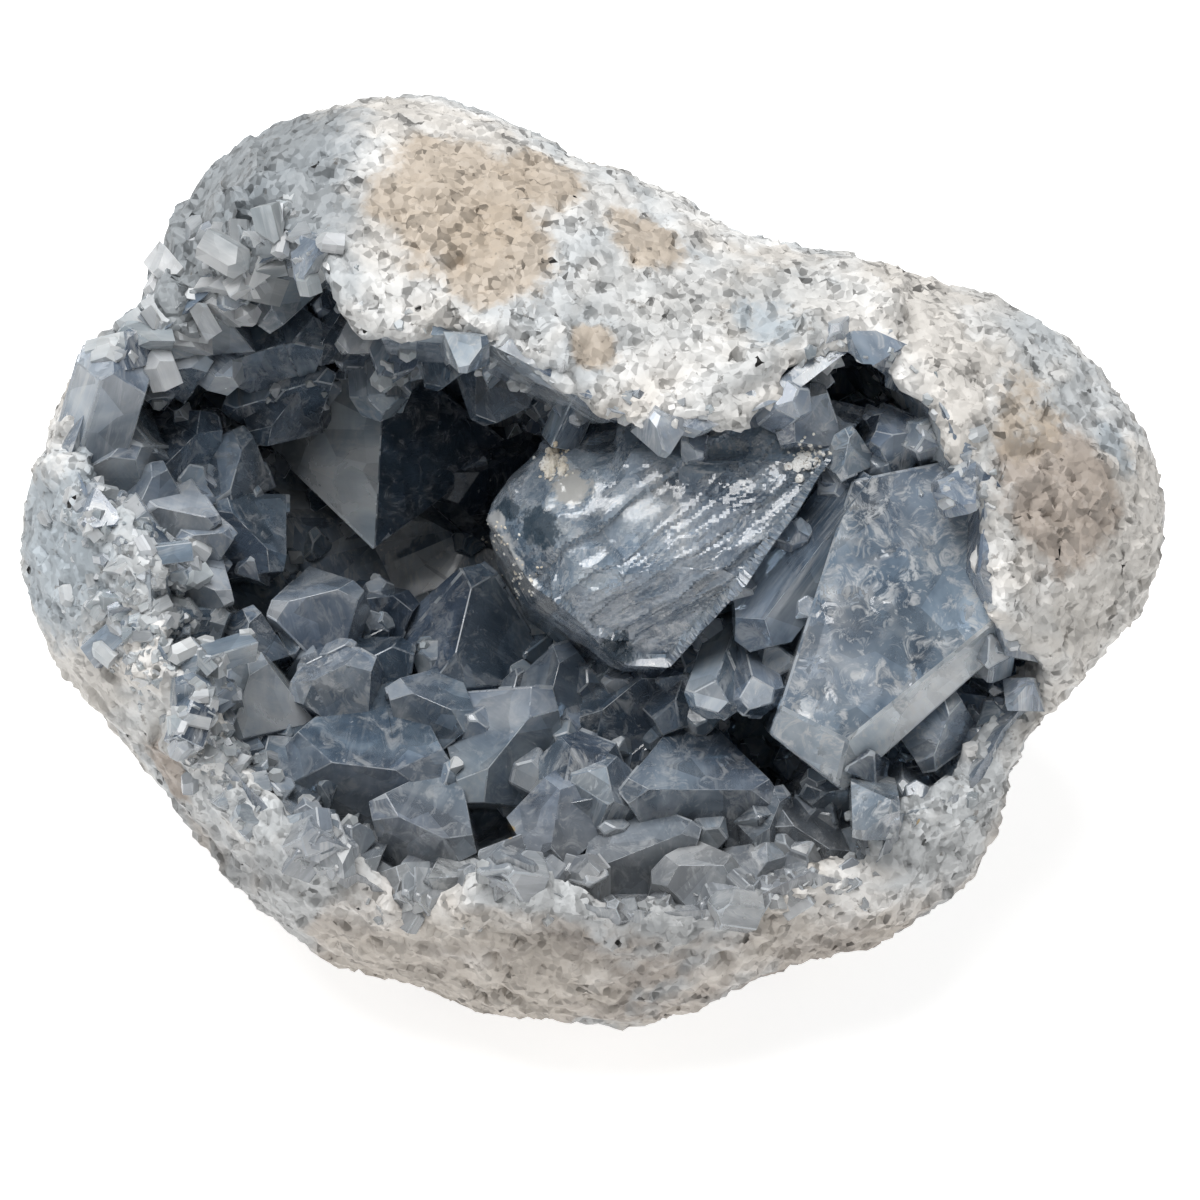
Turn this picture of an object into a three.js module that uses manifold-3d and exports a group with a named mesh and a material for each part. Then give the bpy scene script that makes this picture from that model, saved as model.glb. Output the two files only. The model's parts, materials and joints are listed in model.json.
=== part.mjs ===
// A celestite geode: half of a hollow nodule, broken open, with blue-grey crystals in the hollow.
// Millimetres, +Z up. The nodule rests on a small flat spot at z = 0, under the middle of its box,
// and its mouth looks out to the front (-Y) and up.
//
// Most of the shape is worked out in the mouth's own frame: u runs to the right, v up along the
// mouth, and w out of it. Its origin is the middle of the nodule.
import * as THREE from "three";
import { ConvexGeometry } from "three/addons/geometries/ConvexGeometry.js";
import { ImprovedNoise } from "three/addons/math/ImprovedNoise.js";
import { mergeVertices } from "three/addons/utils/BufferGeometryUtils.js";
import Module from "manifold-3d";

const wasm = await Module();
wasm.setup();

// ---- Driving dimensions: millimetres and degrees ----

const MOUTH_TILT = 40; // how far the mouth looks above the horizontal
const NODULE_MIDDLE = [0.45, -6.45, 58]; // the mouth frame's origin
const FRONT_REACH = 33; // from the middle to the front of the nodule, along w
const BACK_REACH = 62; // from the middle to the back of the nodule
const FRONT_SQUARENESS = 2.5; // 2 is an ellipse, more is flatter in front
const BACK_SQUARENESS = 2.1;
const SHELL_DETAIL = 10; // how finely the nodule's surface is divided

// The nodule's outline round the mouth, [u, v], from the top anticlockwise.
const NODULE_OUTLINE = [
  [-10.6, 60.2], [-23.5, 64.4], [-36.7, 63.5], [-49.2, 58.5], [-58.5, 49.2], [-61, 39],
  [-64.5, 34.5], [-73, 28], [-78, 15], [-80.4, 0], [-76.3, -13.5], [-67.1, -24.5],
  [-58.9, -34.1], [-52, -43.6], [-43.4, -51.7], [-33.1, -57.1], [-22.1, -60.7],
  [-11.4, -63.7], [0, -64.6], [11.5, -63], [21.8, -59.3], [31.4, -54.6], [42.7, -50.7],
  [52.5, -43], [55.5, -33], [60, -23], [69, -14], [76, -6], [79.5, 6], [77.1, 14.5],
  [70.5, 25.7], [58.9, 34.1], [46.1, 38.8], [34.9, 41.6], [25.3, 43.6], [17, 46.7],
  [9, 51], [0, 54.6],
];

// Lumps on the skin: size across, height.
const LUMPS = [
  [30, 3.2],
  [13, 1.7],
  [6.5, 0.8],
];
const OUTLINE_CALM = 0.4; // the share of the lumps' height that is left at the outline

// Pits and knocked-off ledges in the skin: [u, v, w] towards which it lies, radius, depth.
const PITS = [
  [[-55, -36, 12], 7, 2.2],
  [[-62, -24, 10], 6, 1.8],
  [[-45, -47, 8], 6, 1.6],
  [[-5, -60, 8], 6, 1.8],
  [[22, -57, 8], 6, 1.6],
  [[70, 20, 14], 9, 2.5],
  [[15, 40, 20], 8, 1.6],
  [[-20, 55, 18], 10, 1.8],
  [[72, -12, -6], 9, 3],
  [[30, 20, -55], 14, 2.5],
  [[-35, -10, -52], 12, 2.2],
  [[-50, 35, -30], 12, 2.4],
  [[50, -25, -30], 12, 2.6],
];

// The mouth's edge, [u, v], from the right anticlockwise.
const MOUTH_OUTLINE = [
  [49.5, 9], [51.5, 13], [43.5, 14.5], [44, 21], [40, 28.5], [32, 30], [27, 27.5],
  [23.5, 24], [13.5, 19.5], [5.5, 18.5], [0, 21.5], [-9.5, 26.5], [-16, 30], [-23, 29],
  [-29, 31], [-33, 41], [-40.5, 43], [-50.5, 39.5], [-58.5, 36], [-64.5, 31],
  [-72, 26], [-75.5, 17], [-72.5, 8], [-66, 4], [-60.5, -1], [-61, -10.5], [-57, -14.5],
  [-55, -24.5], [-48.5, -30], [-43, -37.5], [-33.5, -42.5], [-29.5, -46], [-22.5, -49.5],
  [-11, -43.5], [-5.5, -46.5], [5.5, -48.5], [13.5, -47], [21.5, -46.5], [24.5, -43],
  [35, -45.5], [37.5, -36.5], [44.5, -34.5], [54.5, -31], [58, -24.5], [63.5, -18],
  [66, -13], [55, -11], [50.5, -5.5],
];
const MOUTH_CENTRE = [-18, -2];
const MOUTH_POINTS = 40; // round each ring of the hollow

// The hollow, from in front of the mouth to its end: [w, size as a share of the mouth, lift
// along v, and the least wall left round it].
const HOLLOW_RINGS = [
  [60, 1.3, 0, 0],
  [26, 1.06, 0, 0],
  [12, 1, 0, 1.5],
  [3, 0.99, 1, 7],
  [-8, 0.95, 3, 9],
  [-18, 0.84, 5, 10],
  [-26, 0.66, 6, 11],
  [-33, 0.38, 7, 12],
];
const HOLLOW_END = -36; // w of the hollow's deepest point
const LINING = 3.4; // thickness of the grown-together crystal lining
const LINING_ROUGHNESS = 1.3; // height of the lining's waves
const LINING_WAVE = 7; // size across of the lining's waves
const JOINT_GAP = 0.4; // between the rind and the crystal crust
const RIM_SETBACK = 0.6; // how far the lining ends short of the skin
const SURROUNDINGS = 400; // side of a block much larger than the nodule
const WALL_STEPS = 14; // halvings in the search for where a wall ends
const SAME_POINT = 1e-4; // corners closer than this are one
const NEARLY_PARALLEL = 1e-6; // of three faces that meet in no corner

// Angles between the faces of celestite, in degrees.
const M_FROM_A = 38; // prism face m to the a axis
const O_FROM_C = 52.1; // dome face o to the c axis
const D_FROM_C = 39.4; // dome face d to the c axis

// Habits of a crystal. side: the side faces' turn from the broad face. tips: tilt from the
// crystal's axis of the two large and the two small tip faces.
const HABITS = {
  lath: { side: O_FROM_C, tips: [M_FROM_A, 90 - D_FROM_C] },
  block: { side: M_FROM_A, tips: [O_FROM_C, D_FROM_C] },
  wedge: { side: M_FROM_A, tips: [M_FROM_A, D_FROM_C] },
};

// The large crystals, in the mouth's frame: [habit, middle of the ridge at the tip, axis towards
// the tip, where the ridge runs, [width across the ridge, depth along it, length, ridge]].
const LARGE_CRYSTALS = [
  // deep in the hollow
  ["wedge", [-31, 16, -9], [0.02, -0.1, 1], [0.06, 1, 0.1], [36, 40, 32, 40]],
  ["block", [-14, 14, -18], [0.3, 0.2, 1], [1, 0.5, 0], [24, 20, 20, 8]],
  // floor, left to right
  ["block", [-48.5, -18.5, 13], [-0.1, 0.15, 0.97], [0.3, 1, 0], [16, 16, 24, 6]],
  ["block", [-39.5, -5, 4], [-0.05, 0.35, 0.93], [0.95, 0.25, 0], [17, 17, 26, 7]],
  ["block", [-32, -5.5, -7], [0.1, 0.45, 0.85], [1, 0.2, 0], [17, 18, 22, 6]],
  ["block", [-30.5, -13, 1], [0.1, 0.4, 0.9], [0.8, 0.5, 0], [13, 14, 22, 4]],
  ["block", [-19, -8.5, -1], [0, 0.35, 0.93], [0.2, 1, 0], [26, 27, 28, 10]],
  ["block", [-37, -15.5, 9], [-0.1, 0.3, 0.95], [1, 0.5, 0], [16, 15, 24, 5]],
  ["block", [-32, -28, 14], [-0.03, 0.05, 1], [1, -0.12, 0], [32, 24, 36, 9]],
  ["block", [-44.5, -30, 11], [-0.25, 0, 0.95], [0.5, -0.8, 0], [18, 18, 24, 6]],
  ["block", [-24, -36, 19], [0, 0.05, 1], [0.85, -0.4, 0], [20, 19, 28, 7]],
  ["block", [-33.5, -44, 17], [0, 0, 1], [0.9, 0.3, 0], [15, 14, 20, 5]],
  ["block", [-27.5, -45, 20], [0.05, 0.1, 1], [0.3, 0.9, 0], [11, 11, 18, 4]],
  ["block", [-23, -19.5, 8], [0.05, 0.25, 0.95], [0.9, -0.4, 0], [17, 16, 26, 6]],
  ["block", [-12.5, -25, 12], [0.05, 0.12, 0.98], [0.6, 0.75, 0], [25, 24, 32, 9]],
  ["block", [-6.5, -18, 5], [-0.1, 0.3, 0.93], [0.2, 1, 0], [20, 20, 28, 8]],
  // the group below the middle
  ["block", [-18, -42.5, 21], [0.25, 0.3, 0.9], [1, 0.12, 0], [13, 19, 24, 11]],
  ["lath", [-6, -35, 18], [0, 0.2, 0.98], [0.15, 1, 0], [13, 18, 28, 8]],
  ["lath", [-1.6, -40, 23], [0, 0.75, 0.6], [0.1, -0.5, 0.8], [5, 4, 16, 1.5]],
  ["lath", [-4.5, -25, 13], [-0.3, 0.75, 0.6], [0.3, -0.1, 0.9], [12, 8, 30, 3]],
  ["lath", [1.5, -27.5, 15], [0.3, 0.75, 0.6], [-0.3, -0.1, 0.9], [12, 8, 30, 3]],
  ["block", [-1.5, -32.5, 16], [0, 0.3, 0.95], [1, 0.2, 0], [14, 14, 28, 5]],
  ["block", [3, -18.5, 8], [-0.1, 0.25, 0.95], [0.7, 0.6, 0], [19, 18, 28, 7]],
  ["block", [11, -17, 9], [0.1, 0.2, 0.97], [0.3, 0.9, 0], [17, 16, 26, 5]],
  ["block", [5.5, -39, 20], [0.05, 0.2, 0.97], [0.85, 0.35, 0], [22, 19, 30, 12]],
  ["block", [13.5, -31, 18], [0.05, 0.15, 0.98], [1, 0, 0], [27, 23, 32, 14]],
  ["lath", [13.5, -41, 22], [0.1, 0.45, 0.88], [1, 0, -0.1], [11, 12, 22, 6]],
  ["block", [21, -42.5, 20], [0.1, 0.2, 0.97], [0.6, 0.8, 0], [15, 14, 24, 5]],
  ["block", [23.5, -34.5, 17], [0.2, 0.2, 0.95], [0.4, 0.9, 0], [12, 12, 24, 4]],
  // behind the great broken crystal, and the long prism on its right
  ["lath", [13, 19.5, 20], [-0.35, 0.35, 0.87], [0.5, 0.6, 0.3], [24, 16, 34, 9]],
  ["lath", [19.4, -11.4, 17.5], [-0.6, -0.79, 0.1], [0.79, -0.6, 0], [10, 9.2, 28, 2.5]],
  ["lath", [14.5, -20, 20], [-0.2, -0.5, 0.85], [0.9, -0.3, 0.1], [6, 7, 18, 3]],
  ["lath", [21.5, -19.5, 20], [0.1, -0.5, 0.85], [0.9, 0.2, 0.1], [6, 7, 18, 3]],
  // under the roof, round the small hole
  ["block", [27, 20, 24], [-0.1, 0.2, 0.97], [0.5, 0.8, 0], [12, 12, 28, 4]],
  ["block", [33, 14.5, 22], [0, 0.1, 1], [0.2, 1, 0], [9, 10, 24, 4]],
  ["block", [41, 17, 21], [0.2, 0.2, 0.95], [1, 0.2, 0], [11, 10, 26, 4]],
  // the right end
  ["block", [46, -23.5, 18], [0.1, -0.2, 0.96], [0.3, 0.9, 0], [15, 15, 26, 6]],
  ["block", [58, -17, 12], [0.4, -0.3, 0.85], [1, 0.1, 0], [13, 16, 24, 7]],
  ["block", [63.5, -9, 9], [0.5, -0.3, 0.8], [0.9, 0.3, 0], [14, 17, 24, 8]],
  ["block", [52, -24, 11], [0.3, -0.3, 0.9], [0.5, 0.8, 0], [15, 14, 22, 5]],
  ["block", [28.5, -37.5, 17], [0.2, 0.15, 0.96], [0.8, -0.5, 0], [18, 17, 26, 6]],
  ["block", [33.5, -31, 14], [0.1, 0, 0.98], [1, 0.2, 0], [15, 16, 24, 6]],
  ["block", [36.5, -40.5, 15], [0.1, 0, 1], [0.3, 0.9, 0], [14, 13, 22, 5]],
  ["block", [43, -33, 14], [0.15, 0, 0.98], [0.9, 0.1, 0], [16, 15, 24, 5]],
  ["block", [50, -30, 12], [0.3, -0.1, 0.95], [0.5, 0.8, 0], [15, 14, 22, 5]],
  // hanging from the roof, left to right
  ["lath", [-30.5, 20, -2], [0.1, -0.85, 0.45], [0.2, 0.4, 0.9], [8, 5, 20, 2]],
  ["block", [-32.5, 28.5, 10], [-0.2, -0.6, 0.7], [0.9, 0, 0.3], [11, 10, 24, 4]],
  ["block", [-26.5, 29.5, 12], [0.1, -0.6, 0.7], [0.9, 0.2, 0.3], [9, 9, 20, 3]],
  ["block", [-20, 25, 8], [0.2, -0.7, 0.65], [0.7, 0.4, 0.4], [12, 10, 24, 4]],
  ["block", [-12, 20, 10], [0.25, -0.7, 0.6], [1, 0.5, 0.1], [14, 12, 26, 5]],
  ["block", [-10, 27, 16], [0, -0.6, 0.7], [1, 0.2, 0.1], [7, 7, 16, 3]],
  ["block", [-4.5, 22, 15], [-0.2, -0.6, 0.7], [0.9, -0.3, 0.2], [9, 9, 22, 3]],
  // the upper left corner
  ["block", [-44.5, 40, 14], [0.05, -0.2, 0.97], [0.02, 1, 0], [24, 22, 30, 12]],
  ["block", [-36.5, 33, 4], [0.1, -0.2, 0.97], [0.5, 0.8, 0], [20, 19, 28, 7]],
  ["block", [-46, 29, 6], [0, -0.15, 0.98], [1, 0.3, 0], [23, 22, 28, 8]],
  ["block", [-58, 33, 14], [-0.3, 0.1, 0.93], [0.4, 0.9, 0], [16, 15, 26, 5]],
  ["block", [-58.5, 26, 12], [0, -0.3, 0.95], [1, 0.1, 0], [14, 16, 24, 6]],
  ["lath", [-50, 24.5, 10], [0.6, -0.4, 0.6], [0, 0.3, 0.9], [6, 4, 16, 2]],
  ["block", [-44, 21, -1], [0.2, -0.2, 0.98], [0.6, 0.8, 0], [17, 16, 24, 6]],
  // the left lobe
  ["lath", [-64.5, 29.5, 17], [0.3, 0.8, 0.5], [-0.5, 0, 0.85], [12, 10, 30, 4]],
  ["block", [-72, 20, 13], [-0.4, 0.3, 0.85], [0.3, 1, 0], [16, 19, 24, 8]],
  ["block", [-58, 15, 5], [0.2, 0.1, 0.97], [0.7, 0.7, 0], [20, 19, 26, 7]],
  ["block", [-50.5, 12.5, 2], [0.3, 0, 0.95], [0.3, 1, 0], [16, 15, 24, 6]],
  ["block", [-68.5, 13, 13], [-0.3, 0, 0.95], [0.9, 0.4, 0], [15, 14, 22, 5]],
  ["block", [-62, 9, 12], [0, 0.1, 1], [0.4, 0.9, 0], [13, 13, 22, 5]],
  ["block", [-57, 6.5, 12], [0.1, 0.2, 0.97], [1, -0.2, 0], [13, 15, 22, 7]],
  ["block", [-53.5, 3.5, 11], [0.15, 0.1, 0.98], [1, 0.1, 0], [10, 12, 20, 4]],
  ["block", [-48.5, 4, 3], [0.2, 0.1, 0.97], [0.7, -0.7, 0], [18, 17, 24, 7]],
  ["block", [-55, -3, 13], [0.1, 0.1, 0.98], [0.9, -0.4, 0], [14, 15, 22, 6]],
  ["block", [-56.5, -9, 12], [0, 0, 1], [1, 0.3, 0], [15, 15, 22, 6]],
  ["block", [-64, 2, 12], [-0.15, 0.1, 0.98], [1, 0.2, 0], [14, 14, 20, 5]],
  ["block", [-62, -5.5, 11], [-0.1, 0, 1], [0.4, 0.9, 0], [13, 13, 20, 5]],
  ["block", [-48.5, -10.5, 8], [0.1, 0.2, 0.97], [0.2, 1, 0], [12, 12, 20, 4]],
];

// Two crystals that were broken or cut short, each by its faces: [a point of the face, where it
// looks].
const BROKEN_CRYSTALS = [
  // the great one in the middle: front, then round the sides from the right, and the back
  [
    [[2, 4, 25], [-0.12, 0.12, 0.98]], [[27.5, 5.5, 10], [0.74, -0.67, 0]],
    [[18, -6.5, 10], [0.82, -0.57, 0.05]], [[7.5, -15, 12], [-0.05, -1, 0.1]],
    [[-4.5, -8.8, 12], [-0.62, -0.78, 0.15]], [[-11.5, -1.2, 12], [-0.86, -0.5, 0.12]],
    [[-15.5, 4, 10], [-0.95, -0.3, 0.1]], [[-13, 12, 10], [-0.79, 0.61, 0.15]],
    [[-1.3, 18.6, 12], [-0.25, 0.97, 0.1]],
    [[-11, 2, 19], [-0.72, -0.1, 0.68]], [[3, -10, 20], [0, -0.6, 0.8]],
    [[10, 26, 8], [0.2, 1, 0]], [[0, 0, -10], [0, 0, -1]],
  ],
  // the slab on its right
  [
    [[39, -8, 23], [-0.05, 0.15, 0.98]], [[54.3, 0.7, 12], [0.95, 0.32, 0]],
    [[45.2, -20, 12], [0.67, -0.75, 0]], [[43.8, -18.1, 22], [0.5, -0.56, 0.66]],
    [[26.2, -26.1, 12], [-0.62, -0.79, 0]], [[26.2, -25.2, 21.5], [-0.35, -0.5, 0.8]],
    [[28.8, -4.8, 12], [-0.95, 0.31, 0]], [[40, 12, 12], [-0.2, 1, 0]],
    [[0, 0, -8], [0, 0, -1]],
  ],
];

// Small crystals that stand along the mouth's edge.
const RIM_CRYSTALS = 13;
const RIM_CRYSTAL_WIDTH = [8, 4.5]; // the usual, and how much it varies
const RIM_CRYSTAL_SHAPE = [1, 0.9, 1.5, 0.35]; // width, depth, length and ridge, as shares
const RIM_CRYSTAL_SETBACK = [2.7, 2]; // from the edge: the usual, and how much it varies
const RIM_CRYSTAL_LEAN = [0.35, 1.1]; // towards the hollow's middle, and at random
const RIM_CRYSTAL_HEIGHT = 0.3; // of the tip over the skin, as a share of the width
const RIM_RING = 2; // the ring of the hollow that they follow

// ---- Helpers ----

const noise = new ImprovedNoise();
const radians = THREE.MathUtils.degToRad;
const vector = (xyz) => new THREE.Vector3(...xyz);

// A closed geometry as a solid that can be joined and cut.
function solid(geometry) {
  const bare = geometry.clone();
  bare.deleteAttribute("normal");
  bare.deleteAttribute("uv");
  const merged = mergeVertices(bare, SAME_POINT);
  return new wasm.Manifold(
    new wasm.Mesh({
      numProp: 3,
      vertProperties: new Float32Array(merged.attributes.position.array),
      triVerts: new Uint32Array(merged.index.array),
    }),
  );
}

// A solid as a geometry.
function geometry(body) {
  const mesh = body.getMesh();
  const made = new THREE.BufferGeometry();
  made.setAttribute("position", new THREE.BufferAttribute(mesh.vertProperties, 3));
  made.setIndex(new THREE.BufferAttribute(mesh.triVerts, 1));
  return made;
}

// A closed outline as a smooth curve of evenly spread points.
function smoothOutline(points, count) {
  const curve = new THREE.CatmullRomCurve3(
    points.map(([u, v]) => new THREE.Vector3(u, v, 0)),
    true,
  );
  return curve.getSpacedPoints(count).slice(0, count);
}

// ---- The nodule's outer skin ----

const OUTLINE_STEPS = 360;
const outlineRadii = new Array(OUTLINE_STEPS).fill(0);
for (const point of smoothOutline(NODULE_OUTLINE, OUTLINE_STEPS * 4)) {
  const turn = (Math.atan2(point.y, point.x) / (2 * Math.PI) + 1) % 1;
  const step = Math.floor(turn * OUTLINE_STEPS);
  outlineRadii[step] = Math.max(outlineRadii[step], Math.hypot(point.x, point.y));
}

function outlineRadius(u, v) {
  const turn = ((Math.atan2(v, u) / (2 * Math.PI) + 1) % 1) * OUTLINE_STEPS - 0.5;
  const low = Math.floor(turn);
  const share = turn - low;
  const radius = (step) => outlineRadii[(step + OUTLINE_STEPS) % OUTLINE_STEPS];
  return radius(low) * (1 - share) + radius(low + 1) * share;
}

// How far the skin is from the nodule's middle, towards a unit direction.
function skinRadius(direction) {
  const { x, y, z } = direction;
  const reach = z > 0 ? FRONT_REACH : BACK_REACH;
  const power = z > 0 ? FRONT_SQUARENESS : BACK_SQUARENESS;
  const flat = Math.hypot(x, y) / outlineRadius(x, y);
  const smooth = (flat ** power + (Math.abs(z) / reach) ** power) ** (-1 / power);
  const calm = OUTLINE_CALM + (1 - OUTLINE_CALM) * Math.abs(z);
  let radius = smooth;
  for (const [size, height] of LUMPS) {
    const at = smooth / size;
    radius += height * calm * noise.noise(x * at + size, y * at, z * at);
  }
  for (const [towards, across, depth] of PITS) {
    const apart = vector(towards).normalize().angleTo(direction) * smooth;
    radius -= depth * Math.exp(-((apart / across) ** 2) * 2);
  }
  return radius;
}

function skinGeometry(inset) {
  const ball = mergeVertices(
    new THREE.IcosahedronGeometry(1, SHELL_DETAIL)
      .deleteAttribute("normal")
      .deleteAttribute("uv"),
  );
  const position = ball.attributes.position;
  const point = new THREE.Vector3();
  for (let i = 0; i < position.count; i += 1) {
    point.fromBufferAttribute(position, i).normalize();
    point.multiplyScalar(skinRadius(point) - inset);
    position.setXYZ(i, point.x, point.y, point.z);
  }
  return ball;
}

// ---- The hollow ----

const mouth = smoothOutline(MOUTH_OUTLINE, MOUTH_POINTS);
const mouthCentre = new THREE.Vector3(...MOUTH_CENTRE, 0);

// The share of the way from a ring's centre to a point at which a wall is still left.
function clearShare(centre, reach, wall) {
  let low = 0;
  let high = 1;
  const point = new THREE.Vector3();
  for (let step = 0; step < WALL_STEPS; step += 1) {
    const share = (low + high) / 2;
    point.copy(centre).addScaledVector(reach, share);
    const inside = point.length() < skinRadius(point.clone().normalize()) - wall;
    if (inside) low = share;
    else high = share;
  }
  return low;
}

// The hollow's rings, from in front of the mouth to near its end.
const hollowRings = HOLLOW_RINGS.map(([w, share, lift, wall]) =>
  mouth.map((edge) => {
    const centre = new THREE.Vector3(mouthCentre.x, mouthCentre.y + lift, w);
    const reach = edge.clone().sub(mouthCentre).multiplyScalar(share);
    const kept = wall > 0 ? clearShare(centre, reach, wall) : 1;
    return centre.addScaledVector(reach, kept);
  }),
);

// Closed loft through rings of points, with a fan to a middle point at both ends.
function loft(rings, firstMiddle, lastMiddle) {
  const count = rings[0].length;
  const points = [...rings.flat(), firstMiddle, lastMiddle];
  const first = points.length - 2;
  const last = points.length - 1;
  const index = [];
  for (let i = 0; i < count; i += 1) {
    const next = (i + 1) % count;
    for (let ring = 0; ring < rings.length - 1; ring += 1) {
      const near = ring * count;
      const far = near + count;
      index.push(near + i, far + i, near + next);
      index.push(near + next, far + i, far + next);
    }
    index.push(first, i, next);
    const base = (rings.length - 1) * count;
    index.push(last, base + next, base + i);
  }
  const made = new THREE.BufferGeometry().setFromPoints(points);
  made.setIndex(index);
  return made;
}

// The hollow as a closed body, its wall moved in by a gap and by a rough lining.
function hollowGeometry(inset, roughness) {
  const front = mouthCentre.clone().setZ(HOLLOW_RINGS[0][0]);
  const lift = HOLLOW_RINGS.at(-1)[2];
  const end = new THREE.Vector3(mouthCentre.x, mouthCentre.y + lift, HOLLOW_END);
  const made = loft(hollowRings, front, end);
  made.computeVertexNormals();
  const { position, normal } = made.attributes;
  const point = new THREE.Vector3();
  const outward = new THREE.Vector3();
  for (let i = 0; i < position.count; i += 1) {
    point.fromBufferAttribute(position, i);
    outward.fromBufferAttribute(normal, i);
    const at = point.clone().divideScalar(LINING_WAVE);
    const wave = roughness * noise.noise(at.x, at.y, at.z);
    point.addScaledVector(outward, -inset - wave);
    position.setXYZ(i, point.x, point.y, point.z);
  }
  return made;
}

// ---- Crystals ----

// A crystal's faces, as planes in its own frame: x runs along the ridge at the tip, z along the
// axis, and the origin is the middle of the ridge.
function crystalFaces(habit, [width, depth, length, ridge]) {
  const { side, tips } = HABITS[habit];
  const faces = [];
  const face = (tilt, turn, distance) => {
    const out = Math.sin(radians(tilt));
    const normal = [
      out * Math.cos(radians(turn)),
      out * Math.sin(radians(turn)),
      Math.cos(radians(tilt)),
    ];
    faces.push(new THREE.Plane(vector(normal), -distance));
  };
  for (const turn of [0, 180]) {
    face(90, turn, depth / 2);
    face(90, turn + side, (width / 2) * Math.sin(radians(side)));
    face(90, turn - side, (width / 2) * Math.sin(radians(side)));
    face(tips[0], turn + 90, 0);
    face(tips[1], turn, (ridge / 2) * Math.sin(radians(tips[1])));
  }
  face(180, 0, length);
  return faces;
}

// The corners of the convex body that the faces enclose.
function corners(faces) {
  const found = [];
  const matrix = new THREE.Matrix3();
  for (let a = 0; a < faces.length; a += 1)
    for (let b = a + 1; b < faces.length; b += 1)
      for (let c = b + 1; c < faces.length; c += 1) {
        const [p, q, r] = [faces[a], faces[b], faces[c]];
        matrix.set(
          p.normal.x, p.normal.y, p.normal.z,
          q.normal.x, q.normal.y, q.normal.z,
          r.normal.x, r.normal.y, r.normal.z,
        );
        if (Math.abs(matrix.determinant()) < NEARLY_PARALLEL) continue;
        const corner = new THREE.Vector3(-p.constant, -q.constant, -r.constant);
        corner.applyMatrix3(matrix.invert());
        const inside = faces.every((plane) => plane.distanceToPoint(corner) < SAME_POINT);
        const known = found.some((other) => other.distanceTo(corner) < SAME_POINT);
        if (inside && !known) found.push(corner);
      }
  return found;
}

function crystal([habit, tip, axis, ridgeWay, size]) {
  const z = vector(axis).normalize();
  const y = z.clone().cross(vector(ridgeWay)).normalize();
  const x = y.clone().cross(z);
  const place = new THREE.Matrix4().makeBasis(x, y, z).setPosition(vector(tip));
  const points = corners(crystalFaces(habit, size));
  return solid(new ConvexGeometry(points.map((corner) => corner.applyMatrix4(place))));
}

function brokenCrystal(faces) {
  const planes = faces.map(([point, outward]) =>
    new THREE.Plane().setFromNormalAndCoplanarPoint(vector(outward).normalize(), vector(point)),
  );
  return solid(new ConvexGeometry(corners(planes)));
}

// How far out along w the skin is, over a place in the mouth.
function skinHeight(u, v) {
  let low = -BACK_REACH / 2;
  let high = FRONT_REACH * 1.5;
  const point = new THREE.Vector3();
  for (let step = 0; step < WALL_STEPS; step += 1) {
    const w = (low + high) / 2;
    point.set(u, v, w);
    if (point.length() < skinRadius(point.clone().normalize())) low = w;
    else high = w;
  }
  return low;
}

// Small crystals along the mouth's edge look out of the mouth.
function rimCrystal(number) {
  const wobble = (seed) => noise.noise(number * 2.3 + seed, seed * 2.7, number * 0.53);
  const vary = ([usual, spread], seed) => usual + spread * wobble(seed);
  const edge = hollowRings[RIM_RING][Math.floor((number * MOUTH_POINTS) / RIM_CRYSTALS)];
  const inward = mouthCentre.clone().setZ(edge.z).sub(edge).normalize();
  const tip = edge.clone().addScaledVector(inward, vary(RIM_CRYSTAL_SETBACK, 2));
  tip.z = skinHeight(tip.x, tip.y);
  const [towardsMiddle, lean] = RIM_CRYSTAL_LEAN;
  const axis = inward.multiplyScalar(towardsMiddle);
  axis.add(vector([wobble(3) * lean, wobble(4) * lean, 1])).normalize();
  const width = vary(RIM_CRYSTAL_WIDTH, 1);
  tip.addScaledVector(axis, width * RIM_CRYSTAL_HEIGHT);
  const ridgeWay = [wobble(5), wobble(6) + 0.1, wobble(7)];
  const size = RIM_CRYSTAL_SHAPE.map((share) => share * width);
  return crystal(["block", tip.toArray(), axis.toArray(), ridgeWay, size]);
}

// ---- The two pieces ----

const skin = solid(skinGeometry(0));
const hollow = solid(hollowGeometry(0, 0));
const crustRoom = solid(hollowGeometry(JOINT_GAP, 0));
const crustInside = solid(hollowGeometry(LINING, LINING_ROUGHNESS));
const insideSkin = solid(skinGeometry(RIM_SETBACK));

const crystals = wasm.Manifold.union([
  ...LARGE_CRYSTALS.map(crystal),
  ...BROKEN_CRYSTALS.map(brokenCrystal),
  ...Array.from({ length: RIM_CRYSTALS }, (_, number) => rimCrystal(number)),
]);
const everywhere = solid(new THREE.BoxGeometry(SURROUNDINGS, SURROUNDINGS, SURROUNDINGS));
const air = everywhere.subtract(insideSkin).add(crustInside).subtract(crystals);
const crustBody = crustRoom.subtract(air);
const rindBody = skin.subtract(hollow);

// From the mouth's frame to the world's.
const toWorld = new THREE.Matrix4()
  .makeRotationX(radians(90 - MOUTH_TILT))
  .setPosition(vector(NODULE_MIDDLE));

function largestBody(body) {
  return body.decompose().reduce((a, b) => (a.volume() > b.volume() ? a : b));
}

const belowFlatSpot = new THREE.BoxGeometry(SURROUNDINGS, SURROUNDINGS, SURROUNDINGS);
belowFlatSpot.translate(0, 0, -SURROUNDINGS / 2);
const rindStanding = solid(geometry(rindBody).applyMatrix4(toWorld)).subtract(solid(belowFlatSpot));
const crustStanding = solid(geometry(crustBody).applyMatrix4(toWorld));

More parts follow.
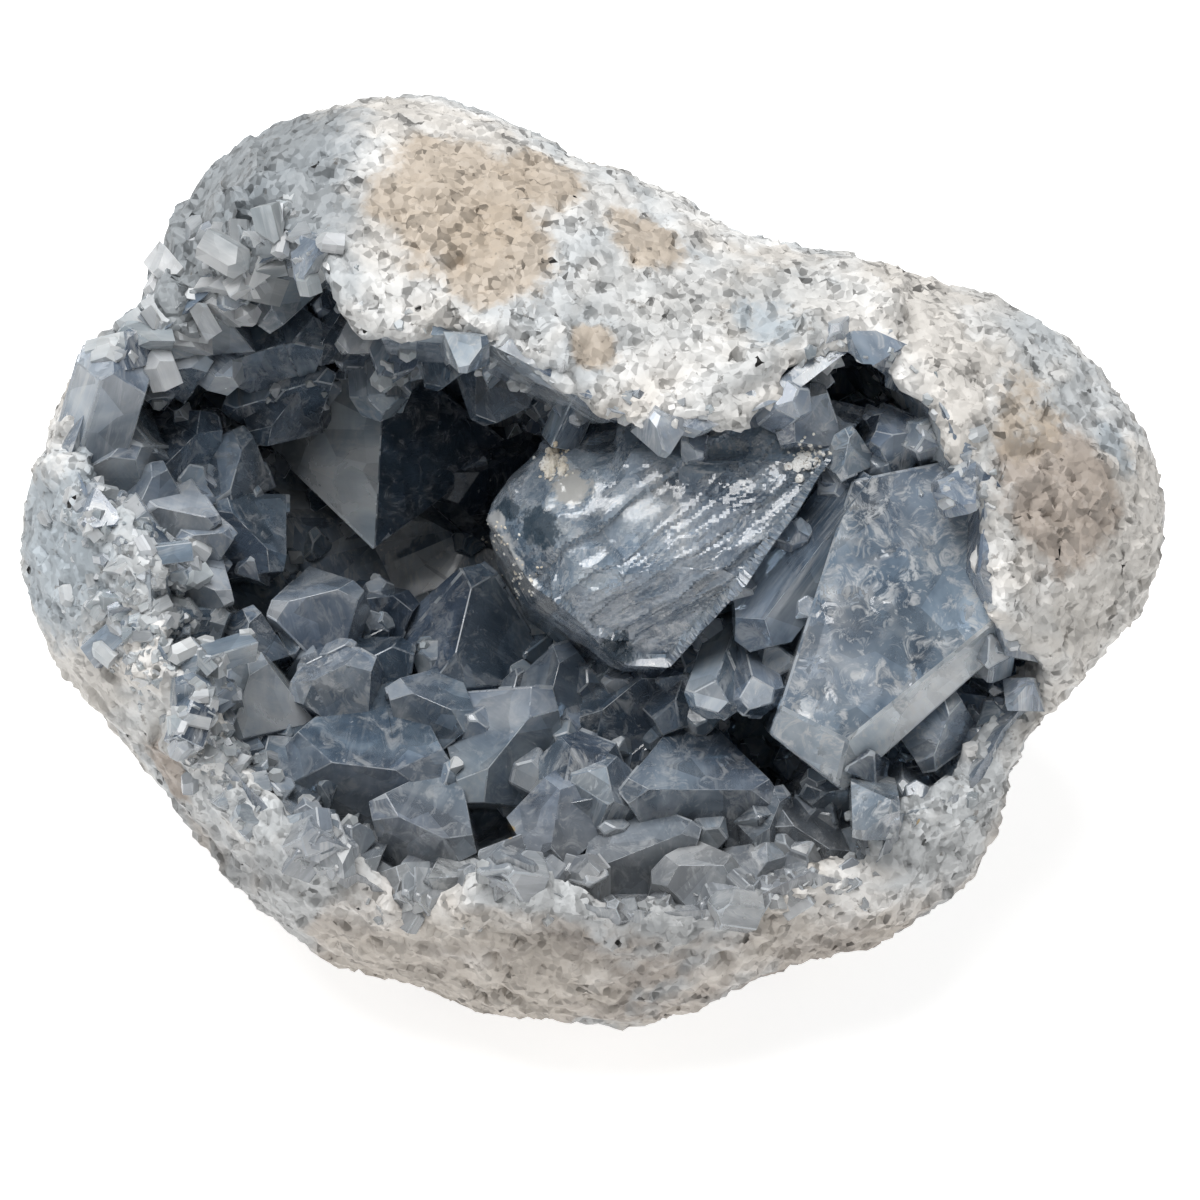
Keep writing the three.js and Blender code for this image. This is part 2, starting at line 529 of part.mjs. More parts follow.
function piece(name, body, finish) {
  const mesh = new THREE.Mesh(geometry(largestBody(body)), new THREE.MeshStandardMaterial(finish));
  mesh.name = name;
  return mesh;
}

const group = new THREE.Group();
group.add(
  piece("rind", rindStanding, { color: 0xcfcac2, roughness: 0.9, metalness: 0 }),
  piece("crystal_crust", crustStanding, { color: 0x7f919f, roughness: 0.15, metalness: 0 }),
);

export default group;
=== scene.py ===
import json
import math
import random

import bpy
from mathutils import Matrix, Vector, noise
from mathutils.bvhtree import BVHTree

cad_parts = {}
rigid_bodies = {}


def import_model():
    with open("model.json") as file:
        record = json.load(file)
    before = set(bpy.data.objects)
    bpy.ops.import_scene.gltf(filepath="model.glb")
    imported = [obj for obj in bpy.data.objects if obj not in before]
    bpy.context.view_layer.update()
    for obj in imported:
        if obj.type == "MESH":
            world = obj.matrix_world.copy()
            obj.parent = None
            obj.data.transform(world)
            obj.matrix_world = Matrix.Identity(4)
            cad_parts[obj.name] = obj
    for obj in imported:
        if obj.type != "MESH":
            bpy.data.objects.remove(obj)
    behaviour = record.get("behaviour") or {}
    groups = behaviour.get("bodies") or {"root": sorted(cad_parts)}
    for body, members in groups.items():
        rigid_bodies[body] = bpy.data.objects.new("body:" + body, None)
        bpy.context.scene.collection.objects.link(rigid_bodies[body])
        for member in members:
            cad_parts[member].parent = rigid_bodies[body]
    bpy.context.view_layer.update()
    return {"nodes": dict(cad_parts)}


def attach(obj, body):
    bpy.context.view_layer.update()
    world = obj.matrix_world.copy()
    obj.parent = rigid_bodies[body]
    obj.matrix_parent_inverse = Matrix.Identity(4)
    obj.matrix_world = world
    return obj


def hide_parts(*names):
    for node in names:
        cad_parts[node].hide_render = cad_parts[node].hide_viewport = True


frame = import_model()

# A celestite geode: a pale granular rind round a hollow that is full of blue-grey crystals.
# Everything is in metres. MM turns the sizes below, which are in millimetres, into metres.

MM = 0.001

# The mouth's own frame: u runs to the right, v up along the mouth and w out of it.
MOUTH_TILT = math.radians(40)
NODULE_MIDDLE = Vector((0.45, -6.45, 58)) * MM
MOUTH_FRAME = Matrix.Translation(NODULE_MIDDLE) @ Matrix.Rotation(math.pi / 2 - MOUTH_TILT, 4, "X")
MOUTH_CENTRE = Vector((-18, -2, 0))
MOUTH_MM = MOUTH_FRAME @ Matrix.Scale(MM, 4)  # from millimetres in the mouth to the scene
TO_MOUTH = MOUTH_MM.inverted()
REACH = 0.12  # how far a ray may go before it meets the nodule

# ---- Small helpers ----


def in_mouth(u, v, w):
    """A place in the mouth's frame, given in millimetres."""
    return MOUTH_FRAME @ (Vector((u, v, w)) * MM)


def mouth_direction(u, v, w):
    return (MOUTH_FRAME.to_3x3() @ Vector((u, v, w))).normalized()


def pick_only(piece):
    for other in bpy.context.selected_objects:
        other.select_set(False)
    piece.select_set(True)
    bpy.context.view_layer.objects.active = piece


def drop_all():
    for other in bpy.context.selected_objects:
        other.select_set(False)
    bpy.context.view_layer.objects.active = None


def new_ball(subdivisions):
    drop_all()
    bpy.ops.mesh.primitive_ico_sphere_add(subdivisions=subdivisions, radius=1)
    return bpy.context.object


def sway(rng, most):
    """A small random way to lean in."""
    return Vector([rng.uniform(-most, most) for _ in range(3)])


def edit(piece):
    pick_only(piece)
    bpy.ops.object.mode_set(mode="EDIT")


def done():
    bpy.ops.object.mode_set(mode="OBJECT")


def apply(piece, modifier):
    pick_only(piece)
    bpy.ops.object.modifier_apply(modifier=modifier.name)


def merged_copy(node, name):
    """A copy of a CAD node with its loose triangles merged."""
    piece = frame["nodes"][node].copy()
    piece.data = piece.data.copy()
    piece.name = name
    piece.data.name = name
    piece.parent = None
    for key in list(piece.keys()):
        del piece[key]
    piece.data.materials.clear()
    bpy.context.scene.collection.objects.link(piece)
    edit(piece)
    bpy.ops.mesh.select_all(action="SELECT")
    bpy.ops.mesh.remove_doubles(threshold=1e-6)
    done()
    return piece


def dress(piece, finish):
    """Gives all of a piece one finish, and puts it on the body that it rides on."""
    piece.data.materials.clear()
    piece.data.materials.append(finish)
    for face in piece.data.polygons:
        face.material_index = 0
    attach(piece, "root")


def keep_largest(piece):
    """Drops every loose bit of a piece but the largest."""
    pick_only(piece)
    bpy.ops.mesh.separate(type="LOOSE")
    parts = sorted(bpy.context.selected_objects, key=lambda part: -len(part.data.vertices))
    for part in parts[1:]:
        bpy.data.objects.remove(part)
    return parts[0]


def join(pieces, name):
    drop_all()
    for piece in pieces:
        piece.select_set(True)
    bpy.context.view_layer.objects.active = pieces[0]
    bpy.ops.object.join()
    joined = bpy.context.view_layer.objects.active
    joined.name = name
    joined.data.name = name
    return joined


def settle(piece, matrix):
    """Puts a piece in its place, in its mesh, and notes which way it leans."""
    piece.data.transform(matrix)
    piece.data.update()
    lean = piece.data.attributes.get("lean")
    if lean is not None:
        way = (matrix.to_3x3() @ Vector((0, 0, 1))).normalized()
        lean.data.foreach_set("vector", list(way) * len(lean.data))


def tray(name, pieces):
    """Moves pieces into a collection of their own."""
    collection = bpy.data.collections.new(name)
    bpy.context.scene.collection.children.link(collection)
    for piece in pieces:
        for home in list(piece.users_collection):
            home.objects.unlink(piece)
        collection.objects.link(piece)
    return collection


def boolean(piece, others, operation):
    """Joins the others to a piece, or cuts them out of it, and removes them."""
    collection = tray(operation.lower(), others)
    modifier = piece.modifiers.new(operation.lower(), "BOOLEAN")
    modifier.operation = operation
    modifier.operand_type = "COLLECTION"
    modifier.collection = collection
    modifier.solver = "MANIFOLD"
    apply(piece, modifier)
    for used in list(collection.objects):
        bpy.data.objects.remove(used)
    bpy.data.collections.remove(collection)


def remesh(piece, size):
    modifier = piece.modifiers.new("even", "REMESH")
    modifier.mode = "VOXEL"
    modifier.voxel_size = size
    apply(piece, modifier)


def tree_of(piece):
    return BVHTree.FromObject(piece, bpy.context.evaluated_depsgraph_get())


def seen_from_front(trees, u, v):
    """The nearest (place, normal) of any tree that is met over (u, v) from in front."""
    down = -mouth_direction(0, 0, 1)
    hits = [tree.ray_cast(in_mouth(u, v, 60), down, REACH) for tree in trees]
    hits = [hit for hit in hits if hit[0] is not None]
    if not hits:
        return None
    place, normal, _, _ = min(hits, key=lambda hit: hit[3])
    return place, normal


# ---- Crystals ----

# Angles between the faces of celestite, in degrees, and the habits they give: the turn of the
# side faces, and the tilt of the large and of the small tip faces.
M_FROM_A = 38
O_FROM_C = 52.1
D_FROM_C = 39.4
HABITS = {
    "lath": (O_FROM_C, M_FROM_A, 90 - D_FROM_C),
    "block": (M_FROM_A, O_FROM_C, D_FROM_C),
    "wedge": (M_FROM_A, M_FROM_A, D_FROM_C),
}

# The large crystals: habit, middle of the tip's ridge, axis, way the ridge runs, and width,
# depth, length and ridge. All in the mouth's frame. Then how milky a crystal is and how cracked,
# from 0 to 1.
LARGE_CRYSTALS = [
    # deep in the hollow
    ("wedge", (-31, 16, -9), (0.02, -0.1, 1), (0.06, 1, 0.1), (36, 40, 32, 40), 0.12, 0.05),
    ("block", (-14, 14, -18), (0.3, 0.2, 1), (1, 0.5, 0), (24, 20, 20, 8), 0.05, 0),
    # floor, left to right
    ("block", (-48.5, -18.5, 13), (-0.1, 0.15, 0.97), (0.3, 1, 0), (16, 16, 24, 6), 0.85, 0.15),
    ("block", (-39.5, -5, 4), (-0.05, 0.35, 0.93), (0.95, 0.25, 0), (17, 17, 26, 7), 0.66, 0.2),
    ("block", (-32, -5.5, -7), (0.1, 0.45, 0.85), (1, 0.2, 0), (17, 18, 22, 6), 0.2, 0.05),
    ("block", (-30.5, -13, 1), (0.1, 0.4, 0.9), (0.8, 0.5, 0), (13, 14, 22, 4), 0.25, 0.1),
    ("block", (-19, -8.5, -1), (0, 0.35, 0.93), (0.2, 1, 0), (26, 27, 28, 10), 0.36, 0.1),
    ("block", (-37, -15.5, 9), (-0.1, 0.3, 0.95), (1, 0.5, 0), (16, 15, 24, 5), 0.62, 0.7),
    ("block", (-32, -28, 14), (-0.03, 0.05, 1), (1, -0.12, 0), (32, 24, 36, 9), 0.45, 0.2),
    ("block", (-44.5, -30, 11), (-0.25, 0, 0.95), (0.5, -0.8, 0), (18, 18, 24, 6), 0.45, 0.3),
    ("block", (-24, -36, 19), (0, 0.05, 1), (0.85, -0.4, 0), (20, 19, 28, 7), 0.5, 0.3),
    ("block", (-33.5, -44, 17), (0, 0, 1), (0.9, 0.3, 0), (15, 14, 20, 5), 0.55, 0.3),
    ("block", (-27.5, -45, 20), (0.05, 0.1, 1), (0.3, 0.9, 0), (11, 11, 18, 4), 0.85, 0.3),
    ("block", (-23, -19.5, 8), (0.05, 0.25, 0.95), (0.9, -0.4, 0), (17, 16, 26, 6), 0.6, 0.2),
    ("block", (-12.5, -25, 12), (0.05, 0.12, 0.98), (0.6, 0.75, 0), (25, 24, 32, 9), 0.72, 0.1),
    ("block", (-6.5, -18, 5), (-0.1, 0.3, 0.93), (0.2, 1, 0), (20, 20, 28, 8), 0.55, 0.1),
    # the group below the middle
    ("block", (-18, -42.5, 21), (0.25, 0.3, 0.9), (1, 0.12, 0), (13, 19, 24, 11), 0.8, 0.9),
    ("lath", (-6, -35, 18), (0, 0.2, 0.98), (0.15, 1, 0), (13, 18, 28, 8), 0.45, 0.2),
    ("lath", (-1.6, -40, 23), (0, 0.75, 0.6), (0.1, -0.5, 0.8), (5, 4, 16, 1.5), 0.85, 0.2),
    ("lath", (-4.5, -25, 13), (-0.3, 0.75, 0.6), (0.3, -0.1, 0.9), (12, 8, 30, 3), 0.4, 0.5),
    ("lath", (1.5, -27.5, 15), (0.3, 0.75, 0.6), (-0.3, -0.1, 0.9), (12, 8, 30, 3), 0.5, 0.5),
    ("block", (-1.5, -32.5, 16), (0, 0.3, 0.95), (1, 0.2, 0), (14, 14, 28, 5), 0.4, 0.4),
    ("block", (3, -18.5, 8), (-0.1, 0.25, 0.95), (0.7, 0.6, 0), (19, 18, 28, 7), 0.3, 0.4),
    ("block", (11, -17, 9), (0.1, 0.2, 0.97), (0.3, 0.9, 0), (17, 16, 26, 5), 0.35, 0.3),
    ("block", (5.5, -39, 20), (0.05, 0.2, 0.97), (0.85, 0.35, 0), (22, 19, 30, 12), 0.5, 0.25),
    ("block", (13.5, -31, 18), (0.05, 0.15, 0.98), (1, 0, 0), (27, 23, 32, 14), 0.35, 0.3),
    ("lath", (13.5, -41, 22), (0.1, 0.45, 0.88), (1, 0, -0.1), (11, 12, 22, 6), 0.8, 0.3),
    ("block", (21, -42.5, 20), (0.1, 0.2, 0.97), (0.6, 0.8, 0), (15, 14, 24, 5), 0.6, 0.5),
    ("block", (23.5, -34.5, 17), (0.2, 0.2, 0.95), (0.4, 0.9, 0), (12, 12, 24, 4), 0.4, 0.4),
    # behind the great broken crystal, and the long prism on its right
    ("lath", (13, 19.5, 20), (-0.35, 0.35, 0.87), (0.5, 0.6, 0.3), (24, 16, 34, 9), 0.22, 0.1),
    ("lath", (19.4, -11.4, 17.5), (-0.6, -0.79, 0.1), (0.79, -0.6, 0), (10, 9.2, 28, 2.5),
     0.42, 0.1),
    ("lath", (14.5, -20, 20), (-0.2, -0.5, 0.85), (0.9, -0.3, 0.1), (6, 7, 18, 3), 0.45, 0.3),
    ("lath", (21.5, -19.5, 20), (0.1, -0.5, 0.85), (0.9, 0.2, 0.1), (6, 7, 18, 3), 0.4, 0.3),
    # under the roof, round the small hole
    ("block", (27, 20, 24), (-0.1, 0.2, 0.97), (0.5, 0.8, 0), (12, 12, 28, 4), 0.5, 0.8),
    ("block", (33, 14.5, 22), (0, 0.1, 1), (0.2, 1, 0), (9, 10, 24, 4), 0.65, 0.8),
    ("block", (41, 17, 21), (0.2, 0.2, 0.95), (1, 0.2, 0), (11, 10, 26, 4), 0.4, 0.7),
    # the right end
    ("block", (46, -23.5, 18), (0.1, -0.2, 0.96), (0.3, 0.9, 0), (15, 15, 26, 6), 0.55, 0.5),
    ("block", (58, -17, 12), (0.4, -0.3, 0.85), (1, 0.1, 0), (13, 16, 24, 7), 0.1, 0.1),
    ("block", (63.5, -9, 9), (0.5, -0.3, 0.8), (0.9, 0.3, 0), (14, 17, 24, 8), 0.35, 0.1),
    ("block", (52, -24, 11), (0.3, -0.3, 0.9), (0.5, 0.8, 0), (15, 14, 22, 5), 0.4, 0.4),
    ("block", (28.5, -37.5, 17), (0.2, 0.15, 0.96), (0.8, -0.5, 0), (18, 17, 26, 6), 0.2, 0.1),
    ("block", (33.5, -31, 14), (0.1, 0, 0.98), (1, 0.2, 0), (15, 16, 24, 6), 0.3, 0.3),
    ("block", (36.5, -40.5, 15), (0.1, 0, 1), (0.3, 0.9, 0), (14, 13, 22, 5), 0.5, 0.4),
    ("block", (43, -33, 14), (0.15, 0, 0.98), (0.9, 0.1, 0), (16, 15, 24, 5), 0.3, 0.4),
    ("block", (50, -30, 12), (0.3, -0.1, 0.95), (0.5, 0.8, 0), (15, 14, 22, 5), 0.4, 0.4),
    # hanging from the roof, left to right
    ("lath", (-30.5, 20, -2), (0.1, -0.85, 0.45), (0.2, 0.4, 0.9), (8, 5, 20, 2), 0.65, 0.3),
    ("block", (-32.5, 28.5, 10), (-0.2, -0.6, 0.7), (0.9, 0, 0.3), (11, 10, 24, 4), 0.8, 0.6),
    ("block", (-26.5, 29.5, 12), (0.1, -0.6, 0.7), (0.9, 0.2, 0.3), (9, 9, 20, 3), 0.6, 0.5),
    ("block", (-20, 25, 8), (0.2, -0.7, 0.65), (0.7, 0.4, 0.4), (12, 10, 24, 4), 0.35, 0.2),
    ("block", (-12, 20, 10), (0.25, -0.7, 0.6), (1, 0.5, 0.1), (14, 12, 26, 5), 0.25, 0.1),
    ("block", (-10, 27, 16), (0, -0.6, 0.7), (1, 0.2, 0.1), (7, 7, 16, 3), 0.7, 0.4),
    ("block", (-4.5, 22, 15), (-0.2, -0.6, 0.7), (0.9, -0.3, 0.2), (9, 9, 22, 3), 0.6, 0.4),
    # the upper left corner
    ("block", (-44.5, 40, 14), (0.05, -0.2, 0.97), (0.02, 1, 0), (24, 22, 30, 12), 0.65, 0.4),
    ("block", (-36.5, 33, 4), (0.1, -0.2, 0.97), (0.5, 0.8, 0), (20, 19, 28, 7), 0.25, 0.2),
    ("block", (-46, 29, 6), (0, -0.15, 0.98), (1, 0.3, 0), (23, 22, 28, 8), 0.42, 0.3),
    ("block", (-58, 33, 14), (-0.3, 0.1, 0.93), (0.4, 0.9, 0), (16, 15, 26, 5), 0.7, 0.2),
    ("block", (-58.5, 26, 12), (0, -0.3, 0.95), (1, 0.1, 0), (14, 16, 24, 6), 0.6, 0.15),
    ("lath", (-50, 24.5, 10), (0.6, -0.4, 0.6), (0, 0.3, 0.9), (6, 4, 16, 2), 0.8, 0.2),
    ("block", (-44, 21, -1), (0.2, -0.2, 0.98), (0.6, 0.8, 0), (17, 16, 24, 6), 0.2, 0.1),
    # the left lobe
    ("lath", (-64.5, 29.5, 17), (0.3, 0.8, 0.5), (-0.5, 0, 0.85), (12, 10, 30, 4), 0.65, 0.3),
    ("block", (-72, 20, 13), (-0.4, 0.3, 0.85), (0.3, 1, 0), (16, 19, 24, 8), 0.72, 0.4),
    ("block", (-58, 15, 5), (0.2, 0.1, 0.97), (0.7, 0.7, 0), (20, 19, 26, 7), 0.3, 0.2),
    ("block", (-50.5, 12.5, 2), (0.3, 0, 0.95), (0.3, 1, 0), (16, 15, 24, 6), 0.45, 0.4),
    ("block", (-68.5, 13, 13), (-0.3, 0, 0.95), (0.9, 0.4, 0), (15, 14, 22, 5), 0.7, 0.5),
    ("block", (-62, 9, 12), (0, 0.1, 1), (0.4, 0.9, 0), (13, 13, 22, 5), 0.6, 0.2),
    ("block", (-57, 6.5, 12), (0.1, 0.2, 0.97), (1, -0.2, 0), (13, 15, 22, 7), 0.75, 0.3),
    ("block", (-53.5, 3.5, 11), (0.15, 0.1, 0.98), (1, 0.1, 0), (10, 12, 20, 4), 0.65, 0.7),
    ("block", (-48.5, 4, 3), (0.2, 0.1, 0.97), (0.7, -0.7, 0), (18, 17, 24, 7), 0.25, 0.2),
    ("block", (-55, -3, 13), (0.1, 0.1, 0.98), (0.9, -0.4, 0), (14, 15, 22, 6), 0.85, 0.4),
    ("block", (-56.5, -9, 12), (0, 0, 1), (1, 0.3, 0), (15, 15, 22, 6), 0.85, 0.6),
    ("block", (-64, 2, 12), (-0.15, 0.1, 0.98), (1, 0.2, 0), (14, 14, 20, 5), 0.85, 0.6),
    ("block", (-62, -5.5, 11), (-0.1, 0, 1), (0.4, 0.9, 0), (13, 13, 20, 5), 0.9, 0.5),
    ("block", (-48.5, -10.5, 8), (0.1, 0.2, 0.97), (0.2, 1, 0), (12, 12, 20, 4), 0.35, 0.4),
]

# Two crystals that were broken or cut short, each by its faces: (a point of the face, where it
# looks).
GREAT_CRYSTAL = [
    ((2, 4, 25), (-0.12, 0.12, 0.98)), ((27.5, 5.5, 10), (0.74, -0.67, 0)),
    ((18, -6.5, 10), (0.82, -0.57, 0.05)), ((7.5, -15, 12), (-0.05, -1, 0.1)),
    ((-4.5, -8.8, 12), (-0.62, -0.78, 0.15)), ((-11.5, -1.2, 12), (-0.86, -0.5, 0.12)),
    ((-15.5, 4, 10), (-0.95, -0.3, 0.1)), ((-13, 12, 10), (-0.79, 0.61, 0.15)),
    ((-1.3, 18.6, 12), (-0.25, 0.97, 0.1)),
    ((-11, 2, 19), (-0.72, -0.1, 0.68)), ((3, -10, 20), (0, -0.6, 0.8)),
    ((10, 26, 8), (0.2, 1, 0)), ((0, 0, -10), (0, 0, -1)),
]
SLAB = [
    ((39, -8, 23), (-0.05, 0.15, 0.98)), ((54.3, 0.7, 12), (0.95, 0.32, 0)),
    ((45.2, -20, 12), (0.67, -0.75, 0)), ((43.8, -18.1, 22), (0.5, -0.56, 0.66)),
    ((26.2, -26.1, 12), (-0.62, -0.79, 0)), ((26.2, -25.2, 21.5), (-0.35, -0.5, 0.8)),
    ((28.8, -4.8, 12), (-0.95, 0.31, 0)), ((40, 12, 12), (-0.2, 1, 0)),
    ((0, 0, -8), (0, 0, -1)),
]

# The mouth's edge, (u, v), from the right anticlockwise.
MOUTH_OUTLINE = [
    (49.5, 9), (51.5, 13), (43.5, 14.5), (44, 21), (40, 28.5), (32, 30), (27, 27.5),
    (23.5, 24), (13.5, 19.5), (5.5, 18.5), (0, 21.5), (-9.5, 26.5), (-16, 30), (-23, 29),
    (-29, 31), (-33, 41), (-40.5, 43), (-50.5, 39.5), (-58.5, 36), (-64.5, 31),
    (-72, 26), (-75.5, 17), (-72.5, 8), (-66, 4), (-60.5, -1), (-61, -10.5), (-57, -14.5),
    (-55, -24.5), (-48.5, -30), (-43, -37.5), (-33.5, -42.5), (-29.5, -46), (-22.5, -49.5),
    (-11, -43.5), (-5.5, -46.5), (5.5, -48.5), (13.5, -47), (21.5, -46.5), (24.5, -43),
    (35, -45.5), (37.5, -36.5), (44.5, -34.5), (54.5, -31), (58, -24.5), (63.5, -18),
    (66, -13), (55, -11), (50.5, -5.5),
]

SHARP = math.radians(12)
EDGE_WEAR = 0.26  # mm, width of the worn edges of a large crystal
SKIN_GROWTH = 0.25  # mm that a dressed crystal stands proud of the plain one under it


def crystal_planes(habit, size, proud=0.0):
    """The faces of a crystal as (normal, distance): x along its ridge, z along its axis."""
    side, tip, small_tip = (math.radians(a) for a in HABITS[habit])
    width, depth, length, ridge = size
    planes = []
    quarter = math.pi / 2
    for turn in (0, math.pi):
        flank = width / 2 * math.sin(side)
        for tilt, way, distance in (
            (quarter, turn, depth / 2),
            (quarter, turn + side, flank),
            (quarter, turn - side, flank),
            (tip, turn + quarter, 0),
            (small_tip, turn, ridge / 2 * math.sin(small_tip)),
        ):
            out = math.sin(tilt)
            normal = Vector((out * math.cos(way), out * math.sin(way), math.cos(tilt)))
            planes.append((normal, distance + proud))
    planes.append((Vector((0, 0, -1)), length))
    return planes


def crystal_place(tip, axis, ridge_way):
    """The matrix that puts a crystal's own frame, in millimetres, in its place."""
    z = Vector(axis).normalized()
    y = z.cross(Vector(ridge_way)).normalized()
    x = y.cross(z)
    turn = Matrix((x, y, z)).transposed().to_4x4()
    return MOUTH_MM @ Matrix.Translation(Vector(tip)) @ turn


def cut_block(name, faces, reach):
    """A block cut to faces, each (a point of it, where it looks), in millimetres."""
    drop_all()
    bpy.ops.mesh.primitive_cube_add(size=reach, location=(0, 0, 0))
    block = bpy.context.object
    block.name = name
    bpy.ops.object.mode_set(mode="EDIT")
    for point, outward in faces:
        bpy.ops.mesh.select_all(action="SELECT")
        bpy.ops.mesh.bisect(plane_co=point, plane_no=outward, use_fill=True, clear_outer=True)
    done()
    return block


def cut_crystal(name, habit, size, proud=0.0):
    faces = [(normal * distance, normal) for normal, distance in crystal_planes(habit, size, proud)]
    return cut_block(name, faces, max(size) * 2.4)


def raise_step(crystal, normal, across, offset, height):
    """Raises the part of one face that lies beyond a line, as a growth step."""
    edit(crystal)
    bpy.ops.mesh.select_all(action="SELECT")
    bpy.ops.mesh.bisect(plane_co=across * offset, plane_no=across)
    bpy.ops.mesh.select_all(action="DESELECT")
    done()
    found = False
    for face in crystal.data.polygons:
        beyond = face.center.dot(across) > offset
        face.select = beyond and face.normal.dot(normal) > 0.999
        found = found or face.select
    if found:
        bpy.ops.object.mode_set(mode="EDIT")
        bpy.ops.mesh.extrude_region_move(TRANSFORM_OT_translate={"value": normal * height})
        done()


def wear_edges(crystal, wear):
    """Bevels the sharp edges."""
    edit(crystal)
    bpy.ops.mesh.select_mode(type="EDGE")
    bpy.ops.mesh.select_all(action="DESELECT")
    bpy.ops.mesh.edges_select_sharp(sharpness=SHARP)
    bpy.ops.mesh.bevel(offset=wear, segments=1, affect="EDGES", clamp_overlap=True)
    bpy.ops.mesh.select_mode(type="FACE")
    done()


def weather(crystal, rng, steps, wear):
    """Gives a crystal growth steps on its broad faces and worn edges."""
    for _ in range(steps):
        faces = sorted(crystal.data.polygons, key=lambda f: -f.area)[:5]
        face = rng.choice([f for f in faces if f.normal.z > -0.5])
        normal = face.normal.copy()
        along = Vector((0, 0, 1)) - normal * normal.z
        if along.length < 0.2 or rng.random() < 0.25:
            along = normal.orthogonal()
        across = normal.cross(along).normalized()
        if rng.random() < 0.5:
            across.negate()
        spread = math.sqrt(face.area)
        offset = face.center.dot(across) + rng.uniform(-0.1, 0.35) * spread
        raise_step(crystal, normal, across, offset, rng.uniform(0.12, 0.4))
    wear_edges(crystal, wear)


def face_width(piece, face):
    """The width of a narrow face, near enough."""
    points = [piece.data.vertices[index].co for index in face.vertices]
    around = sum((a - b).length for a, b in zip(points, points[1:] + points[:1]))
    return 2 * face.area / around if around else 0.0


def note_looks(piece, rng, milk, crack, spread=0.1, wear=0.0):
    """Notes on each face how milky and how cracked it is, and whether it is a worn edge, no
    wider than twice the wear. "lean" is filled in when the piece is put in its place."""
    faces = piece.data.polygons
    worn = [1.0 if wear and face_width(piece, face) < 2 * wear else 0.0 for face in faces]
    tones = {}
    milks = []
    for face in faces:
        way = tuple(round(c, 1) for c in face.normal)
        if way not in tones:
            tones[way] = milk + rng.uniform(-spread, spread)
        milks.append(min(max(tones[way], 0), 1))
    notes = piece.data.attributes
    for name, values in (("milk", milks), ("crack", [crack] * len(milks)), ("worn", worn)):
        notes.new(name, "FLOAT", "FACE").data.foreach_set("value", values)
    notes.new("lean", "FLOAT_VECTOR", "FACE")


# Faces that are clearer or milkier than the rest: number of the crystal, then (where the face
# looks in the mouth, how milky). On crystal 0 this is painted light and shade: the lit left face
# milky and light, the shaded right face clear and dark. On 31 and 32 the face that looks up and
# left is made milky and light as a painted lit face.
SIDE_TONES_AND_PAINTED_LIGHT = {
    0: [((-0.6, 0, 0.8), 0.85), ((0.6, 0, 0.8), 0.1)],
    29: [((0.6, 0.1, 0.8), 0.25)],
    30: [((-0.5, 0.4, 0.77), 0.35), ((0.5, -0.4, 0.77), 0.6)],
    31: [((-0.3, 0.5, 0.8), 0.8)],
    32: [((-0.3, 0.6, 0.8), 0.75)],
}


def tone_and_light_side(crystal, way, milk):
    """Sets how milky, and so how light, the faces are that look one way in the mouth: a tone of
    their own, or painted light and shade where a face is made lighter or darker for the light that
    falls on it.
    """
    way = mouth_direction(*way)
    tones = crystal.data.attributes["milk"].data
    for face in crystal.data.polygons:
        if face.normal.dot(way) > 0.82:
            tones[face.index].value = milk


def large_crystals():
    rng = random.Random(11)
    made = []
    for number, (habit, tip, axis, ridge_way, size, milk, crack) in enumerate(LARGE_CRYSTALS):
        crystal = cut_crystal(f"large_{number}", habit, size, SKIN_GROWTH)
        weather(crystal, rng, 3 if size[0] > 18 else 2, EDGE_WEAR)
        note_looks(crystal, rng, milk, crack, 0.1, EDGE_WEAR)
        settle(crystal, crystal_place(tip, axis, ridge_way))
        # Painted light and shade on some faces: lit faces milkier and lighter, shaded faces clearer
        # and darker.
        for way, tone in SIDE_TONES_AND_PAINTED_LIGHT.get(number, []):
            tone_and_light_side(crystal, way, tone)
        made.append(crystal)
    return made


def grown_against():
    """Smaller crystals of the same setting that stand against the blocky ones."""
    rng = random.Random(23)
    made = []
    for number, (habit, tip, axis, ridge_way, size, milk, crack) in enumerate(LARGE_CRYSTALS):
        width, depth, length, _ = size
        if habit != "block" or width > 24 or number < 2 or tip[0] < -65:
            continue
        place = crystal_place(tip, axis, ridge_way)
        for _ in range(2):
            share = rng.uniform(0.35, 0.6)
            side = rng.choice((-1, 1))
            small = (width * share, depth * share * 1.1, length * 0.8, width * share * 0.35)
            crystal = cut_crystal(f"against_{number}", habit, small)
            wear_edges(crystal, EDGE_WEAR * 0.6)
            note_looks(crystal, rng, milk, crack, 0.2, EDGE_WEAR * 0.6)
            shift = Vector((
                rng.uniform(-0.3, 0.3) * depth,
                side * rng.uniform(0.25, 0.42) * width,
                -rng.uniform(0.15, 0.32) * length,
            ))
            settle(crystal, place @ Matrix.Translation(shift))
            made.append(crystal)
    return made


# The great crystal's break: ledges and fibres that run up to the right across its front.
GRAIN = Vector((0.8, 0.6, 0))
ACROSS_GRAIN = Vector((0.6, -0.8, 0))
LEDGES = [(-3.9, 1.0), (1.5, 0.4), (6.5, 0.6), (11, 0.6)]  # place across the grain, drop
SMALL_PIT = (Vector((34.5, 25, 18)), Vector((4.6, 3.2, 12)))  # middle and radii
KNOCKED_END = ((3, 2, 7), (18.8, 17.2, 19))  # middle and radii of the knocked-round left end


def broken_faces(faces, proud=0.0):
    made = []
    for point, way in faces:
        normal = Vector(way).normalized()
        made.append((Vector(point) + normal * proud, normal))
    return made


def room(faces):
    """The room that a broken crystal takes up, a little larger than its plain form."""
    block = cut_block("room", broken_faces(faces, SKIN_GROWTH), 160)
    settle(block, MOUTH_MM)
    return block


